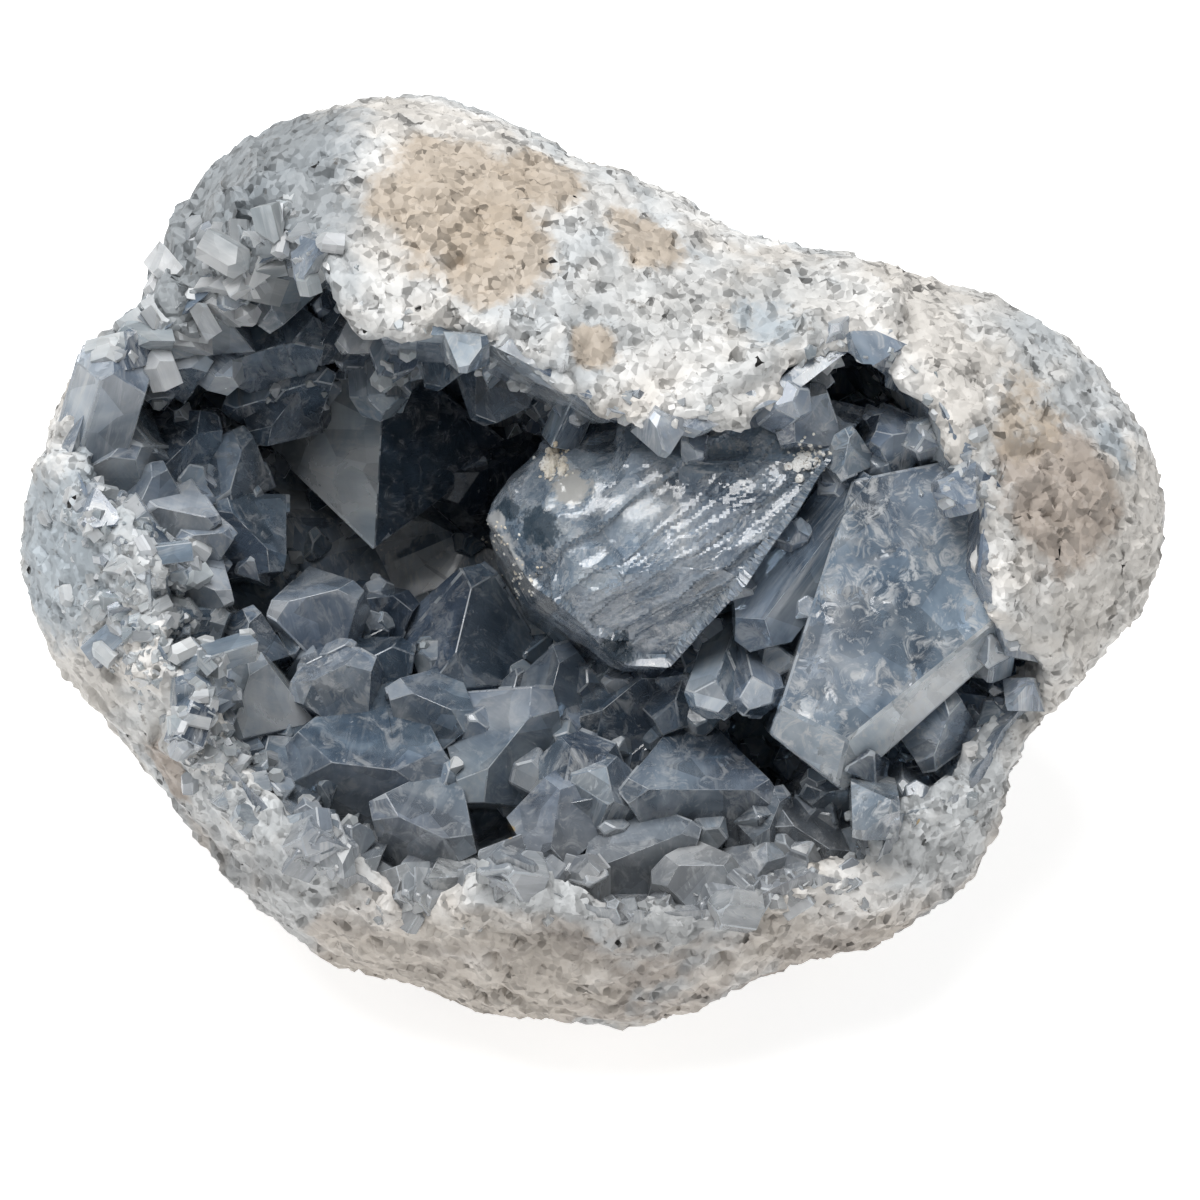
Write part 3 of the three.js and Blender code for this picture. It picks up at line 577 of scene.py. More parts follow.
def great_crystal():
    """The great crystal in the middle: cut to its faces, knocked round on the left and broken
    in ledges and fibres on its front."""
    crystal = cut_block("great_crystal", broken_faces(GREAT_CRYSTAL), 160)
    ball = new_ball(5)
    middle, radii = KNOCKED_END
    for vertex in ball.data.vertices:
        knock = 1 + 0.05 * noise.noise(vertex.co * 3.1) + 0.03 * noise.cell(vertex.co * 4)
        point = Vector([a * b for a, b in zip(vertex.co * knock, radii)])
        if point.x > 0:
            point.x *= 3
            point.y *= 1.5
        if point.z < 0:
            point.z *= 3
        vertex.co = point + Vector(middle)
    boolean(crystal, [ball], "INTERSECT")
    remesh(crystal, 0.45)
    normals = [vertex.normal.copy() for vertex in crystal.data.vertices]
    for vertex, normal in zip(crystal.data.vertices, normals):
        point = vertex.co.copy()
        front = min(max(normal.z * 2 - 0.6, 0), 1)
        along = point.dot(GRAIN)
        across = point.dot(ACROSS_GRAIN) + 1.6 * noise.noise(Vector((along / 9, 0, 1)))
        drop = sum(depth for place, depth in LEDGES if across > place)
        ripple = noise.ridged_multi_fractal(
            Vector((along / 11, across / 2.2, point.z / 8)), 1.0, 2.1, 3, 1.0, 2.0
        )
        strength = 0.1 + 0.34 * min(max((across + 2) / 8, 0), 1)
        dent = noise.noise(point / 4.5) * 0.35
        vertex.co = point + normal * (dent + front * (ripple * strength - drop - 0.3))
    crystal.data.update()
    note_looks(crystal, random.Random(2), 0.58, 0.55)
    settle(crystal, MOUTH_MM)
    return crystal


def slab():
    crystal = cut_block("slab", broken_faces(SLAB), 160)
    wear_edges(crystal, EDGE_WEAR * 1.3)
    note_looks(crystal, random.Random(4), 0.55, 0.85, 0.1, EDGE_WEAR * 1.3)
    settle(crystal, MOUTH_MM)
    tone_and_light_side(crystal, (0.5, -0.56, 0.66), 0.95)
    tone_and_light_side(crystal, (-0.35, -0.5, 0.8), 0.7)
    return crystal


def small_pit():
    """The small dark hole under the roof, right of the great crystal."""
    pit = new_ball(2)
    middle, radii = SMALL_PIT
    place = MOUTH_FRAME @ Matrix.Translation(middle * MM)
    place = place @ Matrix.Rotation(math.radians(-35), 4, "Z")
    settle(pit, place @ Matrix.Diagonal((*radii * MM, 1)))
    return pit


def cleavage_sheets():
    """Thin flat gaps inside the large crystals, where they have parted a little."""
    rng = random.Random(5)
    made = []
    for number, (habit, tip, axis, ridge_way, size, _, crack) in enumerate(LARGE_CRYSTALS):
        width, depth, length, _ = size
        place = crystal_place(tip, axis, ridge_way)
        for _ in range(round(1 + 4 * crack * width / 20)):
            sheet = new_ball(3)
            sheet.name = f"sheet_{number}"
            wide = rng.uniform(0.12, 0.28) * width
            sheet.data.transform(Matrix.Diagonal((wide, wide * rng.uniform(0.5, 1), 0.035, 1)))
            note_looks(sheet, rng, 0.8, 0.3)
            turn = Matrix.Rotation(math.pi / 2 + rng.uniform(-0.3, 0.3), 4, "Y")
            roll = Matrix.Rotation(rng.choice((0, 1.33, -1.33)) + rng.uniform(-0.2, 0.2), 4, "Z")
            shift = Matrix.Translation((
                rng.uniform(-0.25, 0.25) * depth,
                rng.uniform(-0.25, 0.25) * width,
                -rng.uniform(0.25, 0.5) * min(length, width * 1.4),
            ))
            settle(sheet, place @ shift @ roll @ turn)
            made.append(sheet)
    return made


LARGE_BODIES = [
    (crystal_place(tip, axis, ridge_way).inverted(), crystal_planes(habit, size))
    for habit, tip, axis, ridge_way, size, _, _ in LARGE_CRYSTALS
]
for broken in (GREAT_CRYSTAL, SLAB):
    planes = [(way, way.dot(point)) for point, way in broken_faces(broken)]
    LARGE_BODIES.append((TO_MOUTH, planes))


def inside_large(point, margin):
    """Whether a place is in or close to a large crystal."""
    for inverse, planes in LARGE_BODIES:
        local = inverse @ point
        if all(local.dot(normal) < distance + margin for normal, distance in planes):
            return True
    return False


def crystal_patterns(kinds, rng, wear, lengths):
    """A few crystals, one unit wide and of the given least and most length, to copy from."""
    patterns = []
    for number in range(kinds):
        habit = "block" if number % 3 else "lath"
        size = (1, rng.uniform(0.6, 1), rng.uniform(*lengths), rng.uniform(0.15, 0.5))
        pattern = cut_crystal(f"pattern_{number}", habit, size)
        if wear:
            wear_edges(pattern, wear)
        note_looks(pattern, rng, 0.5, 0.3, 0.15, wear)
        patterns.append(pattern)
    return patterns


def scatter(patterns, places, name, milk_shift=0.0):
    """Copies of the patterns, each with its own mesh, at (place, axis, width)."""
    rng = random.Random(name)
    made = []
    for point, axis, width in places:
        pattern = rng.choice(patterns)
        crystal = pattern.copy()
        crystal.data = pattern.data.copy()
        bpy.context.scene.collection.objects.link(crystal)
        turn = axis.to_track_quat("Z", "Y").to_matrix().to_4x4()
        roll = Matrix.Rotation(rng.uniform(0, math.tau), 4, "Z")
        wide = Matrix.Scale(width * MM, 4)
        shift = milk_shift + rng.uniform(-0.2, 0.2)
        for value in crystal.data.attributes["milk"].data:
            value.value = min(max(value.value + shift, 0), 1)
        settle(crystal, Matrix.Translation(point) @ turn @ roll @ wide)
        crystal.name = name
        made.append(crystal)
    return made


def stand(rng, place, way, most, width_range, sink):
    """One small crystal as (place, axis, width): it leans about a way and stands on, or sunk
    by, some share of its width."""
    width = rng.uniform(*width_range)
    axis = (way + sway(rng, most)).normalized()
    return place + axis * width * MM * rng.uniform(*sink), axis, width


LOBE_END = -66  # nothing small stands left of this, where the outline is smooth
COMPASS = ((1, 0), (-1, 0), (0, 1), (0, -1))


def wall_places(tree, count, seed, width_range, margin):
    """Places on the hollow's wall, seen from the middle of the mouth."""
    rng = random.Random(seed)
    focus = in_mouth(MOUTH_CENTRE.x, MOUTH_CENTRE.y, 6)
    outward = MOUTH_FRAME.to_3x3() @ Vector((0, 0, 1))
    places = []
    tries = 0
    while len(places) < count and tries < count * 30:
        tries += 1
        start = focus + MOUTH_FRAME.to_3x3() @ Vector(
            (rng.uniform(-48, 62), rng.uniform(-32, 26), rng.uniform(-6, 14))
        ) * MM
        way = mouth_direction(rng.gauss(0, 1), rng.gauss(0, 1), rng.uniform(-1.6, 0.2))
        hit, normal, _, _ = tree.ray_cast(start, way, REACH)
        if hit is None or normal.dot(way) > 0:
            continue
        if inside_large(hit, margin) or (TO_MOUTH @ hit).x < LOBE_END:
            continue
        places.append(stand(rng, hit, normal + outward * 0.5, 0.5, width_range, (0.25, 0.7)))
    return places


def gap_places(trees, count, seed, width_range):
    """Places in the gaps between the large crystals, as seen from the front."""
    rng = random.Random(seed)
    places = []
    tries = 0
    while len(places) < count and tries < count * 40:
        tries += 1
        u, v = rng.uniform(-62, 62), rng.uniform(-44, 40)
        found = seen_from_front(trees, u, v)
        if found is None:
            continue
        depth = (TO_MOUTH @ found[0]).z
        round_it = [seen_from_front(trees, u + 3 * du, v + 3 * dv) for du, dv in COMPASS]
        heights = sorted((TO_MOUTH @ other[0]).z - depth for other in round_it if other)
        if len(heights) < 4 or heights[1] < 0.3 or heights[2] < 1.5:
            continue
        way = mouth_direction(0, 0.2, 1)
        places.append(stand(rng, found[0], way, 0.5, width_range, (0.2, 0.6)))
    return places


def rim_share(u, v):
    """How thickly small crystals stand on the mouth's edge at a place: 0 to 1."""
    if u < -66 or u > 54:
        return 0
    if v > 6:
        return 0.12 if u < 25 else 0.3
    return 0.9 if u < -48 else 0.12


def low_share(u, v):
    """The same for the blocks that stand on the mouth's lower edge."""
    return 1 if v < -26 and -42 < u < 38 else 0


def rim_places(trees, count, seed, band, width_range, share):
    """Places along the mouth's edge. band: how far out from the edge, least and most."""
    rng = random.Random(seed)
    corners = [Vector(corner) for corner in MOUTH_OUTLINE]
    down = -mouth_direction(0, 0, 1)
    places = []
    tries = 0
    while len(places) < count and tries < count * 6:
        tries += 1
        start = rng.randrange(len(corners))
        first = corners[start]
        last = corners[(start + 1) % len(corners)]
        spot = first.lerp(last, rng.random())
        side = (last - first).normalized()
        spot = spot + Vector((side.y, -side.x)) * rng.uniform(*band)
        found = seen_from_front(trees, spot.x, spot.y)
        if found is None or rng.random() > share(spot.x, spot.y):
            continue
        hit, normal = found
        if normal.dot(down) > -0.15 or inside_large(hit, 0.6) and rng.random() < 0.85:
            continue
        places.append(stand(rng, hit, normal - down * 0.5, 0.6, width_range, (-0.1, 0.2)))
    return places


def patch_places(trees, patches, seed):
    """Places on patches of the skin: (u, v, radius, count, least and most width)."""
    rng = random.Random(seed)
    places = []
    for u, v, radius, count, width_range in patches:
        for _ in range(count):
            turn = rng.uniform(0, math.tau)
            far = radius * math.sqrt(rng.random())
            found = seen_from_front(trees, u + far * math.cos(turn), v + far * math.sin(turn))
            if found is None or inside_large(found[0], 0.4):
                continue
            places.append(stand(rng, *found, 0.6, width_range, (-0.3, 0.05)))
    return places


# ---- Finishes ----


class Finish:
    """A finish, and the steps that its nodes are built with."""

    def __init__(self, name):
        self.material = bpy.data.materials.new(name)
        self.material.use_nodes = True
        self.tree = self.material.node_tree
        self.shader = self.tree.nodes["Principled BSDF"]
        self.place = self.node("ShaderNodeTexCoord").outputs["Object"]

    def feed(self, socket, value):
        """Sets a socket to a number or a tuple, or links it."""
        if isinstance(value, bpy.types.NodeSocket):
            self.tree.links.new(value, socket)
        else:
            socket.default_value = value

    def node(self, kind, inputs=None, **settings):
        """A node with its settings, and its inputs by name or number."""
        node = self.tree.nodes.new(kind)
        for key, value in settings.items():
            setattr(node, key, value)
        for key, value in (inputs or {}).items():
            self.feed(node.inputs[key], value)
        return node

    def shade(self, **inputs):
        """Sets or links inputs of the shader: Base_Color is its Base Color."""
        for key, value in inputs.items():
            self.feed(self.shader.inputs[key.replace("_", " ")], value)

    def attribute(self, name, output="Fac"):
        return self.node("ShaderNodeAttribute", attribute_name=name).outputs[output]

    def noise(self, scale, detail, roughness=0.55, distortion=0.0, source=None):
        return self.node("ShaderNodeTexNoise", {
            "Vector": self.place if source is None else source, "Scale": scale,
            "Detail": detail, "Roughness": roughness, "Distortion": distortion,
        }).outputs["Fac"]

    def ramp(self, source, *stops):
        """A colour ramp: stops are (position, colour or grey)."""
        node = self.node("ShaderNodeValToRGB", {"Fac": source})
        elements = node.color_ramp.elements
        while len(elements) < len(stops):
            elements.new(0.5)
        for element, (position, colour) in zip(elements, stops):
            element.position = position
            element.color = (*(colour if isinstance(colour, tuple) else [colour] * 3), 1)
        return node.outputs["Color"]

    def fade(self, value, first, last, most):
        """A smooth step from the most, where a value is at its first, down to 0 at its last."""
        return self.node("ShaderNodeMapRange", {
            "Value": value, "From Min": first, "From Max": last, "To Min": most, "To Max": 0,
        }, interpolation_type="SMOOTHSTEP").outputs["Result"]

    def mix(self, factor, first, second, blend="MIX"):
        node = self.node("ShaderNodeMix", data_type="RGBA", blend_type=blend)
        for name, value in (("Factor", factor), ("A", first), ("B", second)):
            socket = [s for s in node.inputs if s.name == name and s.enabled][0]
            self.feed(socket, (*value, 1) if isinstance(value, tuple) else value)
        return [s for s in node.outputs if s.enabled][0]

    def math(self, operation, first, second, clamp=False):
        inputs = {0: first, 1: second}
        return self.node("ShaderNodeMath", inputs, operation=operation, use_clamp=clamp).outputs[0]

    def times(self, first, second, clamp=False):
        return self.math("MULTIPLY", first, second, clamp)

    def plus(self, first, second, clamp=False):
        return self.math("ADD", first, second, clamp)

    def vector(self, operation, first, second=None):
        inputs = {0: first} if second is None else {0: first, 1: second}
        node = self.node("ShaderNodeVectorMath", inputs, operation=operation)
        flat = operation in ("DOT_PRODUCT", "DISTANCE", "LENGTH")
        return node.outputs["Value" if flat else "Vector"]

    def shifted(self, start, way, amount):
        """A place or a direction, moved some way along another."""
        inputs = {0: way, "Scale": amount}
        move = self.node("ShaderNodeVectorMath", inputs, operation="SCALE").outputs["Vector"]
        return self.vector("ADD", start, move)

    def bump(self, height, strength, distance):
        return self.node("ShaderNodeBump", {
            "Height": height, "Strength": strength, "Distance": distance,
        }).outputs["Normal"]

    def grains(self, scale, source=None):
        """Grains that each have their own tilt and tone: (tilt, tone, distance to the middle)."""
        inputs = {"Vector": self.place if source is None else source, "Scale": scale}
        cells = self.node("ShaderNodeTexVoronoi", inputs, feature="F1")
        colour = cells.outputs["Color"]
        tone = self.node("ShaderNodeSeparateColor", {"Color": colour}).outputs["Red"]
        return self.vector("SUBTRACT", colour, (0.5, 0.5, 0.5)), tone, cells.outputs["Distance"]

    def blobs(self, colour, patches, wander):
        """Ragged balls of other colours: (place in the mouth's frame), radius, colour, how
        ragged."""
        for centre, radius, tint, ragged in patches:
            apart = self.vector("DISTANCE", self.place, tuple(in_mouth(*centre)))
            distance = self.plus(apart, self.times(wander, ragged * MM))
            mask = self.fade(distance, radius * 0.8 * MM, radius * 1.2 * MM, 1)
            colour = self.mix(self.times(mask, 0.85), colour, tint)
        return colour

    def spots(self, colour, patches, wander):
        """Ragged spots of other colours, however deep: (place in the mouth), radius, colour."""
        outward = tuple(mouth_direction(0, 0, 1))
        for centre, radius, tint in patches:
            apart = self.vector("SUBTRACT", self.place, tuple(in_mouth(*centre, 0)))
            distance = self.vector("LENGTH", self.vector("CROSS_PRODUCT", apart, outward))
            distance = self.plus(distance, self.times(wander, radius * 2 * MM))
            mask = self.fade(distance, radius * 0.75 * MM, radius * 1.15 * MM, 0.9)
            colour = self.mix(mask, colour, tint)
        return colour


# Tones of the crystal, from clear and dark to milky.
CRYSTAL_TONES = (
    (0.0, (0.04, 0.06, 0.09)),
    (0.3, (0.12, 0.165, 0.23)),
    (0.55, (0.285, 0.355, 0.445)),
    (0.8, (0.52, 0.58, 0.645)),
    (1.0, (0.79, 0.82, 0.85)),
)
SMALL_TONES = (
    (0.0, (0.21, 0.245, 0.285)),
    (0.4, (0.4, 0.44, 0.475)),
    (0.7, (0.6, 0.63, 0.65)),
    (1.0, (0.82, 0.83, 0.835)),
)
TEAL = (0.42, 0.53, 0.56)
LAVENDER = (0.5, 0.52, 0.62)
FROST = (0.86, 0.88, 0.89)
WORN = (0.66, 0.71, 0.76)
SMOKE = (0.4, 0.4, 0.395)
CLEAR_DARK = (0.07, 0.11, 0.15)
IRON_GOLD = (0.72, 0.5, 0.2)
# Spots of the crystals: (place in the mouth), radius, colour.
CRYSTAL_PATCHES = [
    ((-8, 4.3), 3, (0.05, 0.085, 0.12)),
    ((-12.6, 6.8), 1.6, CLEAR_DARK),
    ((-3.8, 9.8), 2.6, (0.78, 0.77, 0.73)),
    ((-14.4, 5.2), 1.5, FROST),
    ((-13.6, 2), 1.7, FROST),
    ((-11.9, -0.8), 1.7, FROST),
    ((-9.8, -3.6), 1.6, FROST),
    ((-7.4, -6.4), 1.4, FROST),
    ((2.6, -12), 2.2, CLEAR_DARK),
    ((-12.1, -36.6), 0.6, IRON_GOLD),
    ((43, -35.5), 0.8, IRON_GOLD),
]
CELESTINE_IOR = 1.62
PLANE_TILT = 0.07  # how far the planes inside a crystal tilt its faces
FACET_TILT = 0.28  # the same for the facets of the cracked parts
FACE_SHIFT = 0.005  # how far apart in the patterns the faces of one crystal are
CRYSTAL_SHIFT = 0.3  # the same for two crystals that lean apart
GREY_EDGE = (-46, -24)  # mm up the mouth, where the grey lower edge is full and where it ends


def crystal_finish(name, tones, patches, clear, least_rough, absorb_colour, absorb_density):
    """Clear to cloudy crystal, with veils, fine lines along it, cracks and frosted edges."""
    f = Finish(name)
    milk, crack, worn = (f.attribute(note) for note in ("milk", "crack", "worn"))
    lean = f.attribute("lean", "Vector")
    face_way = f.node("ShaderNodeNewGeometry").outputs["True Normal"]

    # Each crystal and each of its faces shows its own part of the clouds.
    own = f.shifted(f.shifted(f.place, lean, CRYSTAL_SHIFT), face_way, FACE_SHIFT)
    cloud = f.noise(85, 4, 0.55, 0.8, own)
    milky = f.plus(milk, f.times(f.math("SUBTRACT", cloud, 0.5), 1.3))
    hue = f.noise(30, 1, 0.5, 0.0, own)
    colour = f.ramp(milky, *tones)
    colour = f.mix(f.ramp(hue, (0.4, 0.35), (0.5, 0.0)), colour, TEAL, "SOFT_LIGHT")
    colour = f.mix(f.ramp(hue, (0.52, 0.0), (0.64, 0.35)), colour, LAVENDER, "SOFT_LIGHT")

    # Greyer towards the mouth's lower edge.
    upward = mouth_direction(0, 1, 0)
    full, end = (upward.dot(NODULE_MIDDLE) + place * MM for place in GREY_EDGE)
    rise = f.vector("DOT_PRODUCT", f.place, tuple(upward))
    colour = f.mix(f.fade(rise, full, end, 0.6), colour, SMOKE)

    # Planes inside, each with its own tone.
    plane_tilt, plane_tone, _ = f.grains(150, own)
    planes = f.ramp(plane_tone, (0.0, 0.55), (0.5, 1.0), (1.0, 1.5))
    colour = f.mix(0.6, colour, planes, "MULTIPLY")

    # Fine growth lines along each face.
    across = f.vector("DOT_PRODUCT", f.place, f.vector("CROSS_PRODUCT", face_way, lean))
    along = f.vector("DOT_PRODUCT", f.place, lean)
    stretched = f.node("ShaderNodeCombineXYZ", {"X": across, "Y": f.times(along, 0.06)})
    lines = f.noise(700, 3, 0.7, 0.0, stretched.outputs["Vector"])
    colour = f.mix(0.5, colour, f.ramp(lines, (0.35, 0.82), (0.65, 1.14)), "MULTIPLY")

    # Veils that run along the crystal, and crackle where it is cracked.
    drawn = f.shifted(own, lean, f.times(along, -0.85))
    veil = f.noise(330, 4, 0.75, 1.2, drawn)
    tilt, tone, apart = f.grains(400, f.shifted(drawn, (0.007, -0.006, 0.008), veil))
    patchy = f.ramp(f.noise(130, 2, 0.6, 0.0, own), (0.42, 0.0), (0.6, 1.0))
    cracked = f.times(crack, patchy, True)
    hairs = f.ramp(lines, (0.56, 0.0), (0.68, 1.0))
    hairs = f.times(hairs, f.times(patchy, 0.55), True)
    veils = f.math("MAXIMUM", f.ramp(veil, (0.5, 0.0), (0.66, 1.0)), hairs)
    veils = f.times(veils, f.plus(crack, 0.4), True)
    colour = f.mix(f.times(veils, 0.75), colour, FROST)
    fibres = f.ramp(apart, (0.56, 0.0), (0.7, 1.0))
    colour = f.mix(f.times(fibres, f.times(cracked, 0.45), True), colour, FROST)
    # Cracked grains, each lighter or darker at random: painted glitter of facets catching the
    # light, over the real crackle.
    painted_glitter = f.ramp(tone, (0.0, 0.45), (0.6, 1.0), (1.0, 1.7))
    colour = f.mix(f.times(cracked, 0.8), colour, painted_glitter, "MULTIPLY")
    colour = f.spots(colour, patches, f.math("SUBTRACT", f.noise(420, 3, 0.75), 0.5))

    # Specks, and frosted edges.
    specks = f.ramp(apart, (0.06, 1.0), (0.12, 0.0))
    sparse = f.ramp(tone, (0.6, 0.0), (0.64, 0.7))
    colour = f.mix(f.times(specks, sparse), colour, FROST)
    frosted = f.times(worn, f.ramp(f.noise(260, 2, 0.7), (0.44, 0.06), (0.6, 0.9)))
    rough = f.plus(f.ramp(milky, (0.2, 0.0), (0.6, 0.06), (1.0, 0.26)), least_rough)

    # Relief: the lines, a soft unevenness, and facets in the cracked parts.
    height = f.plus(f.times(lines, 0.12), f.times(f.noise(170, 1, 0.5), 0.5))
    way = f.shifted(f.bump(height, 0.6, 0.0006), plane_tilt, PLANE_TILT)
    way = f.shifted(way, tilt, f.times(cracked, FACET_TILT))
    f.shade(
        Base_Color=f.mix(frosted, colour, WORN),
        Roughness=f.plus(rough, f.times(frosted, 0.4), True),
        Normal=f.vector("NORMALIZE", way),
        IOR=CELESTINE_IOR,
        Transmission_Weight=clear,
    )
    inputs = {"Color": (*absorb_colour, 1), "Density": absorb_density}
    absorb = f.node("ShaderNodeVolumeAbsorption", inputs).outputs["Volume"]
    f.feed(f.tree.nodes["Material Output"].inputs["Volume"], absorb)
    return f.material


CLAY = (0.4, 0.335, 0.265)
BROWN = (0.3, 0.25, 0.21)
SMOKY = (0.2, 0.225, 0.245)
BLUISH = (0.33, 0.375, 0.41)
WARM = (0.46, 0.42, 0.37)
DIRT = (0.13, 0.115, 0.1)
STONE_TONES = (
    (0.26, (0.3, 0.31, 0.31)), (0.42, (0.49, 0.49, 0.48)), (0.6, (0.68, 0.675, 0.66)),
)
# The rind's lower side: its own beige, darkened with painted shade on the underside.
BEIGE_AND_SHADE_TONES = (
    (0.3, (0.14, 0.115, 0.095)), (0.46, (0.27, 0.23, 0.195)), (0.62, (0.4, 0.355, 0.31)),
)
BEIGE_AND_SHADE_HEIGHT = (0.024, 0.052)  # m above the floor, where the beige side with its painted shade is full and where it ends
GRAIN_TILT = 0.9
# Patches of the rind: (place in the mouth's frame), radius, colour, raggedness.
RIND_PATCHES = [
    ((-52, 44, 14), 24, SMOKY, 18),
    ((-68, 2, 10), 14, BLUISH, 14),
    ((-20, 47, 22), 11, CLAY, 12),
    ((-14, 40, 28), 8, CLAY, 10),
    ((-8, 51, 18), 6, CLAY, 8),
    ((7, 45, 23), 6, CLAY, 8),
    ((-1, 28, 31), 3.5, CLAY, 5),
    ((60, 8, 20), 10, BROWN, 12),
    ((55, 18, 18), 7, CLAY, 9),
    ((22, 34, 26), 5, BLUISH, 7),
    ((57, 22, 16), 3, BLUISH, 4),
    ((68, 14, 12), 5, BLUISH, 7),
    ((-58, -28, 14), 5, BROWN, 8),
]


def rind_finish():
    f = Finish("weathered rind")
    coarse = f.noise(75, 5, 0.65, 0.4)
    # Beige and darker towards the floor: the rind's own beige, with painted shade on its underside.
    height = f.node("ShaderNodeSeparateXYZ", {"Vector": f.place}).outputs["Z"]
    level = f.plus(height, f.times(f.math("SUBTRACT", coarse, 0.5), 0.05))
    beige_and_shade = f.fade(level, *BEIGE_AND_SHADE_HEIGHT, 0.85)
    colour = f.mix(beige_and_shade, f.ramp(coarse, *STONE_TONES), f.ramp(coarse, *BEIGE_AND_SHADE_TONES))
    broad = f.noise(34, 3, 0.65, 0.6)
    colour = f.mix(f.ramp(broad, (0.42, 0.5), (0.5, 0.0)), colour, WARM)
    colour = f.mix(f.ramp(broad, (0.52, 0.0), (0.6, 0.45)), colour, BLUISH)
    colour = f.blobs(colour, RIND_PATCHES, f.math("SUBTRACT", f.noise(160, 4, 0.7), 0.5))
    # Grains, large and small, each with its own tone and tilt.
    tilt, tone, _ = f.grains(430)
    fine_tilt, fine_tone, _ = f.grains(1000)
    tones = f.ramp(f.plus(f.times(tone, 0.6), fine_tone), (0.1, 0.6), (0.45, 0.95), (1.0, 1.15))
    colour = f.mix(0.45, colour, tones, "MULTIPLY")
    colour = f.mix(f.ramp(f.noise(520, 3, 0.75), (0.29, 0.7), (0.385, 0.0)), colour, DIRT)
    way = f.node("ShaderNodeNewGeometry").outputs["Normal"]
    for grain in (tilt, fine_tilt):
        way = f.shifted(way, grain, GRAIN_TILT)
    f.shade(Base_Color=colour, Roughness=0.6, Normal=f.vector("NORMALIZE", way))
    return f.material


# ---- The crystal crust ----

crust = merged_copy("crystal_crust", "crystals")
rind = merged_copy("rind", "rind_skin")
rng = random.Random(3)
note_looks(crust, rng, 0.6, 0.7, 0.2)
settle(crust, Matrix.Identity(4))

# Where middling blocks stand on the skin: u, v, radius, count, least and most width.
BLOCK_PATCHES = [
    (-58, -4, 9, 18, (4, 7)),
    (-52, -18, 6, 12, (4, 7)),
]
plain_trees = [tree_of(crust), tree_of(rind)]
patterns = crystal_patterns(8, rng, 0.03, (1.4, 2))
middling = [
    *wall_places(plain_trees[0], 60, 8, (4, 8), 0.5),
    *gap_places(plain_trees, 110, 6, (4, 8)),
    *patch_places(plain_trees, BLOCK_PATCHES, 9),
]
short_patterns = crystal_patterns(6, rng, 0.03, (0.9, 1.2))
rim_blocks = rim_places(plain_trees, 60, 9, (-6, 1), (3.5, 7.5), low_share)
boolean(crust, [room(GREAT_CRYSTAL), room(SLAB)], "DIFFERENCE")
boolean(crust, [
    *large_crystals(), *grown_against(), great_crystal(), slab(),
    *scatter(patterns, middling, "mid", 0.1), *scatter(short_patterns, rim_blocks, "edge", 0.2),
], "UNION")
boolean(crust, [merged_copy("rind", "wall")], "DIFFERENCE")
boolean(crust, [small_pit()], "DIFFERENCE")
crust = keep_largest(crust)
crust.name = "crystals"
boolean(crust, cleavage_sheets(), "DIFFERENCE")
dress(crust, crystal_finish(
    "blue-grey crystal", CRYSTAL_TONES, CRYSTAL_PATCHES, 0.55, 0.04, (0.42, 0.56, 0.66), 25,
))
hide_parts("crystal_crust")

# ---- The rind ----

LIP_SPACING = 1.4  # mm between the lumps that stand along the mouth's edge
LIP_WIDTH = (1.9, 3.3)  # their least and most radius, mm


def mouth_edges(piece):
    """The edges where the skin turns into the hollow's wall, as pairs of places."""
    edit(piece)
    bpy.ops.mesh.select_mode(type="EDGE")
    bpy.ops.mesh.select_all(action="DESELECT")
    bpy.ops.mesh.edges_select_sharp(sharpness=math.radians(48))
    done()
    places = [vertex.co.copy() for vertex in piece.data.vertices]
    pairs = [[places[i] for i in edge.vertices] for edge in piece.data.edges if edge.select]
    return [pair for pair in pairs if min((TO_MOUTH @ place).z for place in pair) > 6]


def lip(edges):
    """Lumps along the mouth's edge, where the rind closes on the crystals."""
    rng = random.Random(31)
    outward = mouth_direction(0, 0, 1)
    centre = MOUTH_FRAME @ (MOUTH_CENTRE * MM)
    made = []
    for first, last in edges:
        inward = (last - first).cross(outward).normalized()
        if inward.dot(centre - first) < 0:
            inward.negate()
        count = max(1, round((last - first).length / (LIP_SPACING * MM)))
        for number in range(count):
            spot = first.lerp(last, (number + rng.random()) / count)
            spot = spot + (inward * rng.uniform(-0.5, 3.6) - outward * rng.uniform(0.2, 1.6)) * MM
            lump = new_ball(2)
            radius = rng.uniform(*LIP_WIDTH) * MM
            shape = Matrix.Diagonal([radius * rng.uniform(0.7, 1.2) for _ in range(3)] + [1])
            lump.data.transform(Matrix.Translation(spot) @ shape)
            made.append(lump)
    return made


boolean(rind, lip(mouth_edges(rind)), "UNION")
boolean(rind, [small_pit()], "DIFFERENCE")
remesh(rind, 1.015 * MM)
smooth = rind.modifiers.new("soft", "SMOOTH")
smooth.factor = 0.5
smooth.iterations = 6
apply(rind, smooth)


BULGE = (-52, 44, 14)  # middle of the smooth, clearer bulge at the upper left


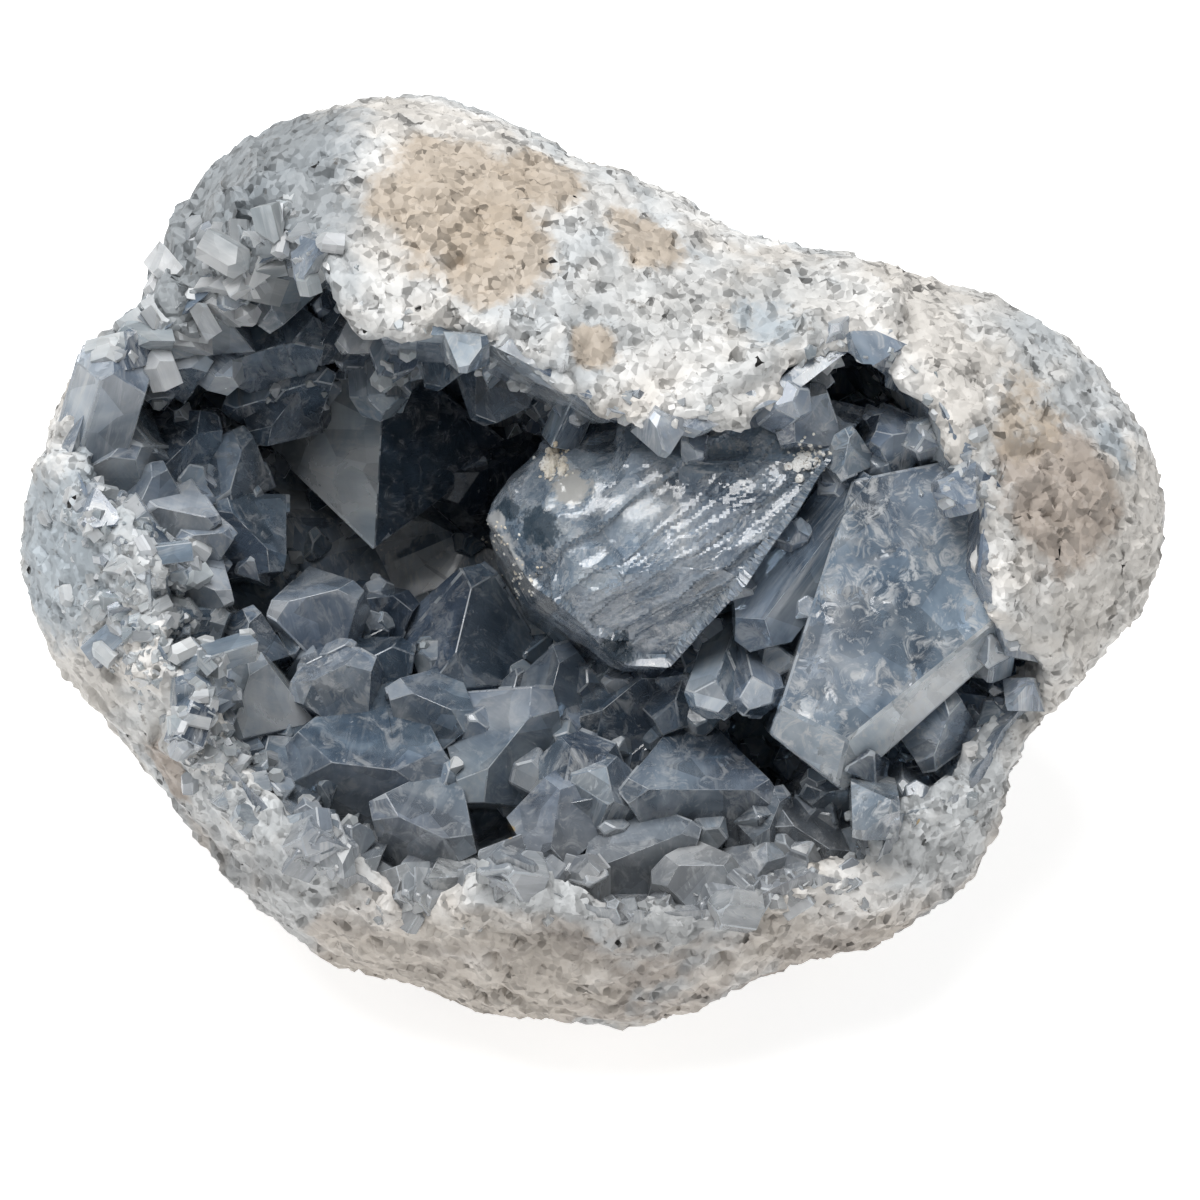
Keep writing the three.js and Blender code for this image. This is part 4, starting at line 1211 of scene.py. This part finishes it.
def roughen(piece):
    """Moves the skin in and out: lumps, knocks, faceted grains and pits."""
    normals = [v.normal.copy() for v in piece.data.vertices]
    bulge = in_mouth(*BULGE)
    for vertex, normal in zip(piece.data.vertices, normals):
        point = vertex.co
        if point.z < 0.6 * MM:
            continue
        lumps = noise.fractal(point / (11 * MM), 1.0, 2.1, 3) * 0.8
        grain = 0
        for size, height in ((3.6, 0.55), (1.9, 0.7)):
            at = point / (size * MM)
            nearest = noise.voronoi(at)[1][0]
            grain += (at - nearest).dot(noise.cell_vector(nearest * 7.3)) * size * height
        pits = min(0.0, noise.noise(point / (3.2 * MM)) + 0.3) * 2.2
        smooth = max(0.0, min(1.0, 1.6 - (point - bulge).length / (18 * MM)))
        at = point / (9 * MM)
        nearest = noise.voronoi(at)[1][0]
        broad = (at - nearest).dot(noise.cell_vector(nearest * 5.1)) * 2.6 * smooth
        rough = (grain * 0.36 + pits) * (1 - 0.7 * smooth)
        vertex.co = point + normal * (lumps + broad + rough - 0.4) * MM


roughen(rind)
pick_only(rind)
bpy.ops.object.shade_smooth_by_angle(angle=math.radians(35))
dress(rind, rind_finish())
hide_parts("rind")

# ---- The small crystals ----

# Patches of the skin that bear small crystals: u, v, radius, count, least and most width.
SKIN_PATCHES = [
    (-62, 0, 9, 170, (1.3, 3.4)),
    (-66, -8, 7, 120, (1.3, 3)),
    (-57, -14, 8, 150, (1.3, 3.4)),
    (-51, -25, 6, 70, (1.2, 3)),
    (-70, 6, 5, 50, (1.2, 2.6)),
    (-61, 30, 5, 46, (2.5, 6)),
    (-52, 39, 6, 60, (2.5, 6.5)),
    (-40, 44, 5, 34, (2, 5)),
]
trees = [tree_of(crust), tree_of(rind)]
small = [
    *wall_places(trees[0], 120, 17, (1.2, 3), 1.2),
    *rim_places(trees, 330, 19, (-5, 3), (1.2, 3), rim_share),
    *patch_places(trees, SKIN_PATCHES, 27),
]
druse_patterns = crystal_patterns(8, rng, 0, (0.9, 1.3))
druse = join(scatter(druse_patterns, small, "druse", 0.15), "small_crystals")
dress(druse, crystal_finish(
    "pale small crystal", SMALL_TONES, [], 0.5, 0.24, (0.5, 0.62, 0.7), 20,
))
for pattern in patterns + short_patterns + druse_patterns:
    bpy.data.objects.remove(pattern)

# ---- The clay crumbs ----

# Where crumbs stick to the crystals: u, v, radius of the spot, count, least and most size.
CRUMB_SPOTS = [
    (-6.2, 13.2, 1.5, 26, (0.5, 1)),
    (-6, 13.2, 2, 90, (0.15, 0.4)),
    (-14, 3, 3, 30, (0.12, 0.3)),
    (-10.5, -2.5, 3, 30, (0.12, 0.3)),
    (26.8, 13, 1.4, 12, (0.5, 1)),
    (28, 14, 2.4, 70, (0.15, 0.4)),
]


def clay_crumbs(trees):
    rng = random.Random(41)
    made = []
    for u, v, radius, count, sizes in CRUMB_SPOTS:
        spread = radius / 2
        for _ in range(count):
            found = seen_from_front(trees, u + rng.gauss(0, spread), v + rng.gauss(0, spread))
            if found is None:
                continue
            crumb = new_ball(1)
            size = rng.uniform(*sizes) * MM
            shape = Matrix.Diagonal([size * rng.uniform(0.6, 1.2) for _ in range(3)] + [1])
            turn = Matrix.Rotation(rng.uniform(0, math.tau), 4, (rng.random(), rng.random(), 1))
            settle(crumb, Matrix.Translation(found[0]) @ turn @ shape)
            made.append(crumb)
    return join(made, "clay_crumbs")


CRUMB_TONES = (
    (0.36, (0.6, 0.52, 0.4)), (0.5, (0.74, 0.7, 0.62)), (0.6, (0.82, 0.82, 0.8)),
)


def crumb_finish():
    f = Finish("dried clay")
    fine = f.noise(1500, 5, 0.7)
    colour = f.ramp(f.noise(150, 5, 0.6), *CRUMB_TONES)
    colour = f.mix(f.ramp(fine, (0.36, 0.8), (0.46, 0.0)), colour, BROWN)
    f.shade(Base_Color=colour, Roughness=0.8, Normal=f.bump(fine, 0.7, 0.0003))
    return f.material


crumbs = clay_crumbs([tree_of(crust)])
dress(crumbs, crumb_finish())

# ---- Floor, light and camera ----

FLOOR_SIZE = 6
FLOOR_GLOW = 0.72
SKY_STRENGTH = 0.34
LAMP_PLACE = Vector((-0.15, -0.05, 0.9))
LAMP_AIM = Vector((0, 0, 0.05))
LAMP_SIZE = 0.75
LAMP_POWER = 10.5  # W
VIEW_DISTANCE = 0.6
SENSOR_WIDTH = 36  # mm
FRAME_WIDTH = 0.1668  # metres across the picture at the nodule's middle
MIDDLE_LIFT = 40 / 1200  # how far the nodule's middle is above the picture's, as a share

drop_all()
bpy.ops.mesh.primitive_plane_add(size=FLOOR_SIZE, location=(0, 0, 0))
floor = bpy.context.object
floor.name = "floor"
floor_finish = Finish("white floor")
floor_finish.shade(
    Base_Color=(0.7, 0.7, 0.7, 1), Roughness=0.9,
    Emission_Color=(1, 1, 1, 1), Emission_Strength=FLOOR_GLOW,
)
floor_finish.material.cycles.emission_sampling = "NONE"
floor.data.materials.append(floor_finish.material)

scene = bpy.context.scene
scene.view_settings.view_transform = "Standard"
scene.cycles.use_light_tree = False
scene.cycles.max_bounces = 3
world = bpy.data.worlds.new("studio")
scene.world = world
world.cycles.sampling_method = "NONE"
world.use_nodes = True
sky = world.node_tree.nodes["Background"]
sky.inputs["Color"].default_value = (1, 1, 1, 1)
sky.inputs["Strength"].default_value = SKY_STRENGTH


def stand_by(name, data, place, way):
    """A light or a camera at a place, looking one way."""
    holder = bpy.data.objects.new(name, data)
    scene.collection.objects.link(holder)
    holder.location = place
    holder.rotation_euler = way.to_track_quat("-Z", "Y").to_euler()
    return holder


lamp = bpy.data.lights.new("overhead", "AREA")
lamp.shape = "DISK"
lamp.size = LAMP_SIZE
lamp.energy = LAMP_POWER
stand_by("overhead", lamp, LAMP_PLACE, LAMP_AIM - LAMP_PLACE)
camera_data = bpy.data.cameras.new("camera")
camera_data.sensor_width = SENSOR_WIDTH
camera_data.lens = SENSOR_WIDTH * VIEW_DISTANCE / FRAME_WIDTH
camera_data.shift_y = -MIDDLE_LIFT
outward = mouth_direction(0, 0, 1)
place = NODULE_MIDDLE + outward * VIEW_DISTANCE
scene.camera = stand_by("camera", camera_data, place, -outward)
